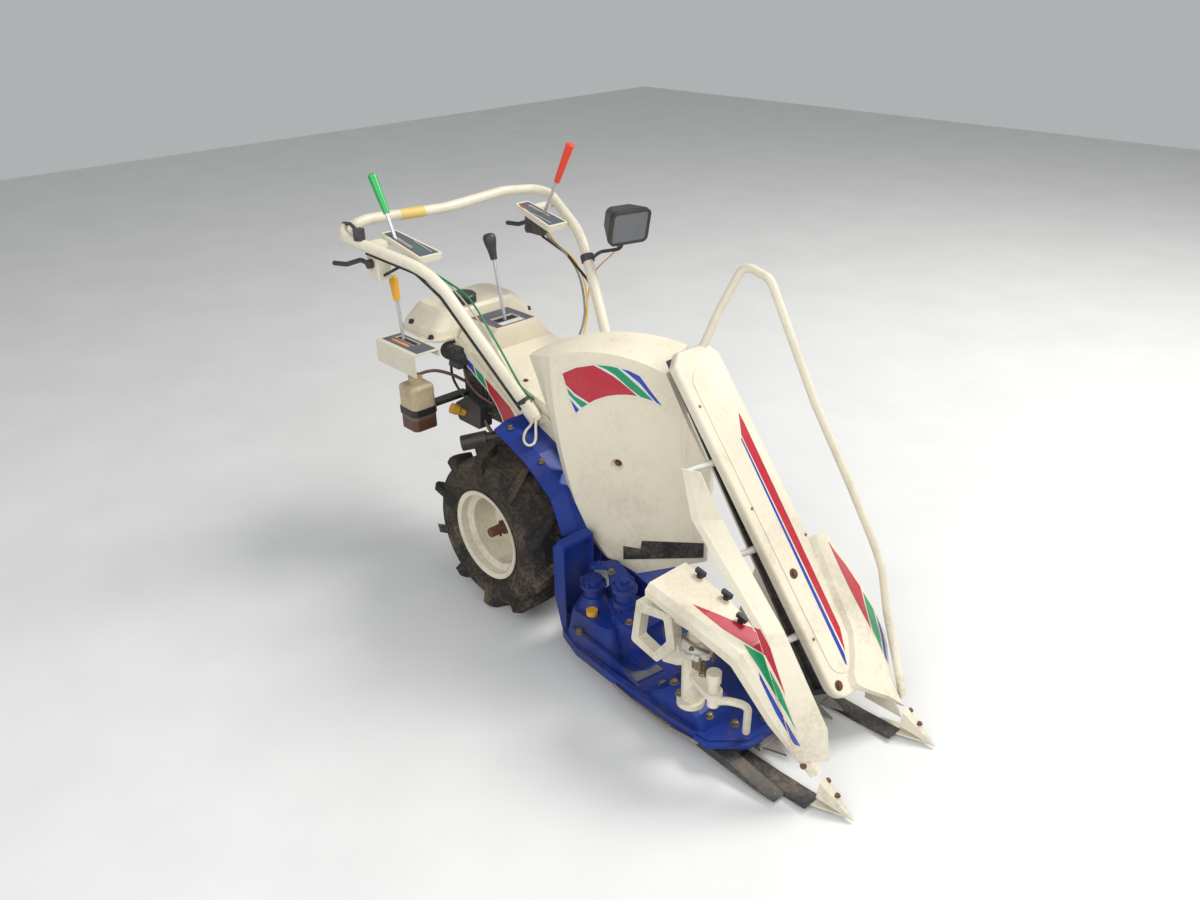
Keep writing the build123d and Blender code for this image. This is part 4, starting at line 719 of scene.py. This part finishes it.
def cover_bands():
    films(COVER, "cream_plastic", (
        ("cover_band_white", "film_white", BED_LIFT, [
            (6, 652), (20, 662), (40, 670), (60, 676), (79, 679), (96, 681), (115, 681), (133, 680),
            (155, 676), (175, 670), (186, 665), (236, 599), (221, 605), (204, 610.5), (180, 614.5),
            (155, 615.5), (132, 612.5), (110, 607), (98, 602), (80, 593.5), (60, 580), (50, 571),
            (40, 561), (34, 554)]),
        ("cover_band_red", "film_red", BAND_LIFT, [
            (8, 650), (40, 667), (79, 677), (98, 669), (121, 658), (140, 646), (156, 634),
            (176, 618), (155, 618.5), (132, 615.5), (110, 610), (98, 605), (80, 596.5), (68, 588),
            (35, 606), (15, 624)]),
        ("cover_band_green_left", "film_green", BAND_LIFT, [
            (17, 617), (34, 600), (64, 585), (50, 574.5), (21, 602)]),
        ("cover_band_blue_left", "film_blue", BAND_LIFT, [(24, 591), (44, 568.5), (36, 560)]),
        ("cover_band_green_right", "film_green", BAND_LIFT, [
            (86, 678), (115, 679), (133, 677), (154, 661), (182, 638), (204, 619), (212, 611),
            (184, 617), (158, 635), (128, 660), (108, 671)]),
        ("cover_band_blue_right", "film_blue", BAND_LIFT, [
            (141, 676), (160, 673), (182, 664), (206, 633), (231, 602), (219, 608), (206, 621),
            (184, 646), (156, 667)]),
    ))


def case_bands():
    films(CASE, "cream_plastic", (
        ("case_band_red", "film_red", FILM_LIFT, [
            (163, 302), (187, 303.5), (420, 299), (651, 294), (698, 278), (208, 281)]),
        ("case_band_blue", "film_blue", FILM_LIFT, [
            (213, 278), (700, 273), (722, 266), (716, 263), (400, 270), (216, 274.5)]),
    ))


def nose_bands():
    """Bands that sweep over the knotter's cover and the divider beside it, one piece for each."""
    for name, look, loop in (
        ("nose_band_red", "film_red", [
            (658, 14, 332), (699, 33, 323), (745, 54, 311), (800, 46, 330), (826, 44, 304),
            (847, 42, 265), (872, 39, 222), (822, 36, 288), (780, 31, 296), (736, 16, 312),
            (690, 10, 328)]),
        ("nose_band_green", "film_green", [
            (781, 24, 298), (813, 36, 286), (861, 36, 230), (904, 35, 162), (884, 33, 187),
            (846, 32, 223), (815, 25, 266)]),
        ("nose_band_blue", "film_blue", [
            (822, 20, 258), (870, 28, 190), (917, 35, 131), (906, 30, 132), (866, 22, 186),
            (828, 16, 248)]),
    ):
        for part, target in (("", "knotter_cover"), ("_edge", "dividers")):
            film(name + part, NOSE, loop, look, "cream_plastic", NOSE_LIFT, step=NOSE_STEP,
                 kept=target)


def flap_bands():
    """Bands on the left divider's outer flap."""
    films(FLAP, "cream_plastic", (
        ("flap_band_red", "film_red", BAND_LIFT, [
            (721, 362, 349), (747, 393, 293), (781, 406, 246), (812, 386, 218), (843, 366, 190),
            (801, 360, 245), (759, 359, 300)]),
        ("flap_band_green", "film_green", BAND_LIFT, [
            (790, 407, 236), (813, 415, 200), (875, 371, 141), (846, 369, 183), (818, 388, 212)]),
        ("flap_band_blue", "film_blue", BAND_LIFT, [
            (822, 415, 188), (838, 412, 170), (884, 379, 116), (879, 373, 133), (848, 395, 162)]),
    ), step=FINE_STEP)


def side_panel():
    """The sheet under the right bar that closes the hood's side, with its three bands."""
    sheet, band = (169.6, 0.0022, 0.0008), (167.35, FILM_THICKNESS, 0)    # y, thickness, bevel
    for name, look, (y, thickness, bevel), loop in (
        ("side_panel", "cream_plastic", sheet, [
            (-318, 597), (-302, 572), (-274, 527), (-228, 501), (-182, 476), (-151, 449),
            (-132, 422), (-122, 391), (-90, 384), (-60, 380), (-24, 378), (20, 398), (40, 414),
            (-26, 430), (-150, 508), (-246, 564)]),
        ("panel_band_blue", "film_blue", band, [
            (-262, 544), (-237, 533), (-225, 505), (-268, 529)]),
        ("panel_band_green", "film_green", band, [
            (-230, 529), (-197, 515), (-182, 481), (-219, 502)]),
        ("panel_band_red", "film_red", band, [
            (-189, 511), (-140, 487), (-92, 461), (-70, 436), (-50, 408), (-58, 387), (-88, 389),
            (-117, 395), (-128, 425), (-147, 451), (-176, 477)]),
    ):
        plate(name, metres(loop), mm(0, y, 0), UP, look, thickness, bevel)


def console_panels():
    """Panels, slots and marks of the two lever consoles, the shift gate and the rear console."""
    slot_from, slot_to, slot_half = 59, 141, 4.6
    shade_in, shade_half = 3, 3.6
    for name, middle, inner in (("right", 72, 1), ("left", 498, -1)):
        outer_y = middle - inner * 12
        outline = [(8, outer_y), (161, outer_y), (161, middle + inner * 22),
                   (8, middle + inner * 42)]
        slot = box(slot_from, middle - slot_half, slot_to, middle + slot_half)
        shade = box(slot_from + shade_in, middle - shade_half,
                    slot_to - shade_in, middle + shade_half)
        rail = box(18, middle + inner * 27, 92, middle + inner * 28.5)
        # a dark film painted on the slot's floor as the shade inside the slot
        film(name + "_slot_shade", CONSOLE, shade, "painted_hole_shade", "black_plastic", SHADE_LIFT,
             step=FINE_STEP)
        films(CONSOLE, "grey_panel", (
            (name + "_lever_panel", "film_slate", PANEL_LIFT, outline, slot),
            (name + "_panel_line", "film_white", MARK_LIFT, rail)))
    films(CONSOLE, "grey_panel", (
        ("right_panel_mark", "cable_green", MARK_LIFT, box(26, 81, 76, 86)),
        ("left_panel_mark", "film_red", MARK_LIFT, box(128, 470, 146, 478))))
    films(GATE, "grey_panel", (
        ("gate_panel", "film_slate", PANEL_LIFT, box(-314, 225, -202, 345),
         box(-269, 252, -231, 324)),
        ("gate_scale", "film_white", MARK_LIFT, box(-228, 246, -208, 318)),
        ("gate_line_front", "film_red", MARK_LIFT, box(-205, 227, -202.8, 343)),
        ("gate_line_right", "film_red", MARK_LIFT, box(-312, 227, -205, 229.2)),
        ("gate_mark", "film_red", MARK_LIFT, box(-308, 236, -282, 241))))
    films(REAR, "grey_panel", (
        ("rear_console_panel", "film_slate", PANEL_LIFT, box(-430, 30, -272, 86),
         box(-414, 58, -324, 78)),
        ("rear_console_stripe", "film_orange", MARK_LIFT, box(-408, 42, -330, 50))))


def slot_shade_plates():
    """Dark plates painted as shade under the shift gate's slot and the rear console's slot."""
    for name, loop, z in (("gate_shade_plate", box(-267.5, 253.5, -232.5, 322.5), 617),
                          ("rear_console_shade_plate", box(-411, 60.5, -327, 75.5), 586.5)):
        plate(name, metres(loop), mm(0, 0, z), LEFT, "painted_hole_shade",
              thickness=0.002, bevel=0.0004)


def deck_patch():
    """The worn, pale step on the deck beside the gearcase."""
    film("deck_step_face", DECK_STEP, [(426, 14), (506, 8), (517, 82), (432, 86)], "film_slate",
         "blue_paint", PANEL_LIFT, step=FINE_STEP, kept="deck")


# Fasteners

RING = [(math.cos(math.radians(a)), math.sin(math.radians(a))) for a in (20, 110, 200, 290)]


def ring_at(x, y, z, radius):
    return [(x + radius * c, y + radius * s, z) for c, s in RING]


def bolts():
    """One row for each set: name, heads, sizes, look, slot, spots."""
    deck = [(560, 36, 70), (600, 28, 70), (640, 2, 60), (705, 20, 60), (740, 60, 60),
            (770, 120, 60), (540, 120, 70), (330, 4, 60)]
    gearcase = ring_at(302, 74, 200, 27) + ring_at(400, 80, 240, 30)
    table = [(450, 44, 170), (438, 96, 170), (340, 96, 170), (470, 70, 170)]
    tips = [(962, 350, 58), (988, 346, 50), (962, 68, 58), (988, 64, 50)]
    tank = [(-447, 132, 600), (-352, 126, 600), (-447, 438, 600), (-352, 444, 600)]
    fender = [(x, y, 470) for x in (2, 112) for y in (94, 476)]
    hood = [(x, y, 520) for x in (-60, 40) for y in (195, 375)]
    for row in (
        ("deck_bolts", HEX, (0.0075, 0.006, 0.010, 0.0015), "zinc", "bright_steel",
         spots_on(from_above("deck", "header_gearcase", "knotter_frame"), deck)),
        ("gearcase_bolts", HEX, (0.0055, 0.0045, 0.0078, 0.0012), "blue_paint", "blue_paint",
         spots_on(from_above("header_gearcase"), gearcase)),
        ("table_nuts", HEX, (0.0065, 0.006, 0.010, 0.0015), "zinc", "bright_steel",
         spots_on(from_above("header_gearcase"), table)),
        ("case_bolt", HEX, (0.006, 0.004, 0.011, 0.0014), "rust", "bright_steel",
         spots_on(CASE, [(507, 243), (745, 222)])),
        ("case_rivets", ROUND, (0.0028, 0.0014, 0.0036, 0.0005), "zinc", "bright_steel",
         spots_on(CASE, [(352, 219), (452, 324), (120, 212), (640, 215)])),
        ("cover_bolt", HEX, (0.0055, 0.004, 0.0085, 0.0012), "rust", "bright_steel",
         spots_on(COVER, [(129, 447)])),
        ("tip_bolts", ROUND, (0.0048, 0.0026, 0.0065, 0.001), "rust", "bright_steel",
         spots_on(NOSE, [(926, 36, 88)]) + spots_on(from_above("divider_tips"), tips)),
        ("tank_bolts", ROUND, (0.007, 0.007, 0.009, 0.001), "black_plastic", "black_plastic",
         spots_on(from_above("fuel_tank"), tank)),
        ("fender_bolts", HEX, (0.006, 0.005, 0.009, 0.0012), "zinc", "bright_steel",
         spots_on(from_above("fenders"), fender)),
        ("hood_screws", ROUND, (0.0045, 0.0022, 0.0075, 0.0008), "rust", "bright_steel",
         spots_on(from_above("hood"), hood)),
        ("disc_screws", ROUND, (0.0042, 0.003, 0.006, 0.001), "zinc", "bright_steel",
         spots_on(from_above("knotter_disc"), ring_at(677, 8, 262, 27))),
    ):
        fasteners(*row)
    ring, middle_y, disc_out, axle_z = 38, 285, 235, 207
    for side, outward in (("right", -1), ("left", 1)):
        welds = [(ring * c, middle_y + outward * disc_out, axle_z + ring * s) for c, s in RING]
        rim = (mm, Vector((0, outward, 0)), [side + "_rim"])
        fasteners(side + "_rim_welds", ROUND, (0.004, 0.0015, 0.006, 0.0006), "rust",
                  "bright_steel", spots_on(rim, welds), side + "_wheel")


# Cables, hoses, ties and wires: name, radius, look, slot, control points

def cables():
    for row in (
        ("green_cable", 0.0026, "cable_green", "black_rubber", [
            (-388, 44, 806), (-366, 72, 806), (-326, 108, 780), (-268, 132, 752), (-216, 146, 730),
            (-176, 146, 706), (-141, 146, 674), (-92, 146, 626), (-44, 146, 574), (-20, 150, 540),
            (-4, 160, 518), (2, 176, 506)]),
        ("white_cable", 0.0022, "cable_white", "black_rubber", [
            (-390, 44, 796), (-366, 66, 798), (-334, 96, 790), (-300, 122, 768), (-250, 136, 738),
            (-196, 140, 703), (-146, 142, 664), (-96, 142, 612), (-44, 146, 556), (-14, 156, 522),
            (-8, 176, 508)]),
        ("yellow_cable", 0.0024, "cable_yellow", "black_rubber", [
            (-344, 504, 832), (-336, 506, 800), (-318, 510, 772), (-294, 514, 756),
            (-262, 516, 744), (-228, 515, 726), (-206, 513, 704), (-186, 508, 674),
            (-170, 500, 634), (-150, 478, 590), (-128, 440, 556), (-112, 394, 530)]),
        ("orange_cable", 0.0018, "cable_orange", "black_rubber", [
            (-100, 558, 806), (-112, 556, 776), (-138, 552, 750), (-168, 545, 724),
            (-190, 536, 694), (-190, 524, 660), (-178, 504, 612), (-150, 462, 566),
            (-128, 394, 534)]),
        ("grey_cable", 0.0030, "cable_grey", "black_rubber", [
            (-352, 502, 833), (-342, 502, 798), (-320, 503, 772), (-286, 506, 758),
            (-240, 506, 736), (-206, 505, 700), (-184, 500, 650), (-158, 480, 600),
            (-136, 436, 560), (-120, 394, 532)]),
        ("fuel_hose", 0.0042, "hose_brown", "black_rubber", [
            (-330, 54, 508), (-322, 90, 520), (-300, 140, 500), (-276, 176, 470),
            (-262, 204, 452)]),
        ("engine_hose", 0.0038, "hose_brown", "black_rubber", [
            (-300, 190, 540), (-286, 168, 500), (-250, 172, 456), (-206, 186, 434),
            (-168, 205, 420)]),
        ("plug_lead", 0.0034, "black_rubber", "black_rubber", [
            (-360, 190, 520), (-334, 160, 490), (-292, 160, 440), (-240, 176, 404),
            (-196, 205, 392)]),
        ("pin_loop", 0.0032, "cream_paint", "cream_paint", [
            (52, 126, 496), (46, 122, 474), (38, 114, 464), (44, 100, 456), (58, 88, 447),
            (74, 88, 442), (80, 100, 444), (74, 112, 454), (64, 120, 474), (58, 128, 498)]),
    ):
        tube(*row)


def engine_details():
    """The air cleaner's boot, the governor's rod and the fins seen under the rear console."""
    tube("air_boot", 0.021, "black_rubber", "black_rubber", [
        (-352, 176, 540), (-330, 158, 548), (-304, 154, 552), (-282, 164, 544),
        (-270, 190, 528)], sides=8)
    tube("governor_rod", 0.0018, "zinc", "bright_steel", [
        (-318, 194, 506), (-300, 180, 498), (-262, 184, 492), (-226, 190, 488), (-204, 202, 470)])
    tube("drain_pipe", 0.005, "hose_brown", "black_rubber", [
        (-238, 202, 404), (-232, 184, 392), (-214, 178, 372), (-200, 184, 352)])
    fins, apart, climb = 5, 15, 3
    for i in range(fins):
        place = mm(-238 + apart * i, 196, 410 + climb * i)
        plate("engine_fin_%d" % (i + 1), metres(box(-4, 0, 4, 70)), place, UP, "engine_cast",
              thickness=0.007, bevel=0.0012)


def ties():
    low, knee = mm(27, 136, 478), mm(-205, 54, 802)
    sleeve("bar_tie", "handlebar", mm(10, 133, 524), knee - low, "black_plastic",
           length=0.009, reach=0.034, lift=0.0008, thickness=0.0024)
    tube("tie_tail", 0.0016, "black_plastic", "black_plastic", [
        (20, 118, 526), (26, 112, 524), (34, 108, 528), (48, 106, 538)])
    sleeve("bar_tape", "handlebar", mm(-488, 190, 872), LEFT, "tape_yellow",
           length=0.064, reach=0.056, lift=0.0003, thickness=0.0004)


def knotter_details():
    """Spring, guide, finger and clamp of the tying head."""
    turns, steps, radius, rise = 7, 10, 6.5, 0.52
    angles = [2 * math.pi * i / steps for i in range(turns * steps + 1)]
    tube("knotter_spring", 0.0013, "zinc", "bright_steel", [
        (706 + radius * math.cos(a), -6 + radius * math.sin(a), 196 + rise * i)
        for i, a in enumerate(angles)], sides=2)
    tube("twine_guide", 0.0028, "zinc", "bright_steel", [
        (640, 20, 246), (652, -10, 268), (676, -22, 276), (700, -18, 266), (712, 4, 250)])
    tube("twine_finger", 0.0035, "rust", "bright_steel", [
        (664, 30, 262), (690, 32, 274), (716, 22, 262), (724, 2, 236)])
    plate("knotter_clamp", metres([(-12, 0), (12, 0), (12, 30), (6, 36), (-6, 36), (-12, 30)]),
          mm(700, -16, 214), UP, "zinc", thickness=0.003, bevel=0.0008)


KNOB_SIDES = 32
# share of the length from the foot, radius in millimetres
KNOB_PROFILE = ((0.0, 0.0), (0.0, 8.6), (0.1, 9.0), (0.3, 10.6), (0.5, 13.4), (0.66, 15.8),
                (0.8, 16.6), (0.9, 15.4), (0.965, 11.5), (0.99, 6.0), (1.0, 0.0))


def shift_handle():
    """The turned, pear-shaped knob of the shift lever."""
    foot, top = mm(-281, 288, 770), mm(-298, 288, 834)
    run = top - foot
    turn = run.to_track_quat("Z", "Y")
    angles = [2 * math.pi * i / KNOB_SIDES for i in range(KNOB_SIDES)]
    ways = [turn @ Vector((math.cos(a), math.sin(a), 0)) for a in angles]
    bm = bmesh.new()
    rings = []
    for share, radius in KNOB_PROFILE:
        middle = foot + run * share
        places = [middle + way * radius / 1000 for way in ways] if radius else [middle]
        rings.append([bm.verts.new(place) for place in places])
    for low, high in zip(rings, rings[1:]):
        for i in range(KNOB_SIDES):
            j = (i + 1) % KNOB_SIDES
            if len(low) == 1:
                bm.faces.new([low[0], high[j], high[i]])
            elif len(high) == 1:
                bm.faces.new([low[i], low[j], high[0]])
            else:
                bm.faces.new([low[i], low[j], high[j], high[i]])
    piece = finish_mesh("shift_handle", bm, "black_plastic")
    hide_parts("shift_knob")


def add_floor():
    bpy.ops.mesh.primitive_plane_add(size=FLOOR_SIZE, location=(0, 0, 0))
    floor = bpy.context.object
    floor.name = "floor"
    floor.data.materials.append(surface("floor", (0.66, 0.66, 0.65), 0.8, dirt=0.0, bump=0.03))


add_camera()
add_lights()
oil_level()
dress_nodes()
shift_handle()
cover_bands()
case_bands()
nose_bands()
flap_bands()
side_panel()
console_panels()
slot_shade_plates()
deck_patch()
bolts()
cables()
engine_details()
ties()
knotter_details()
add_floor()
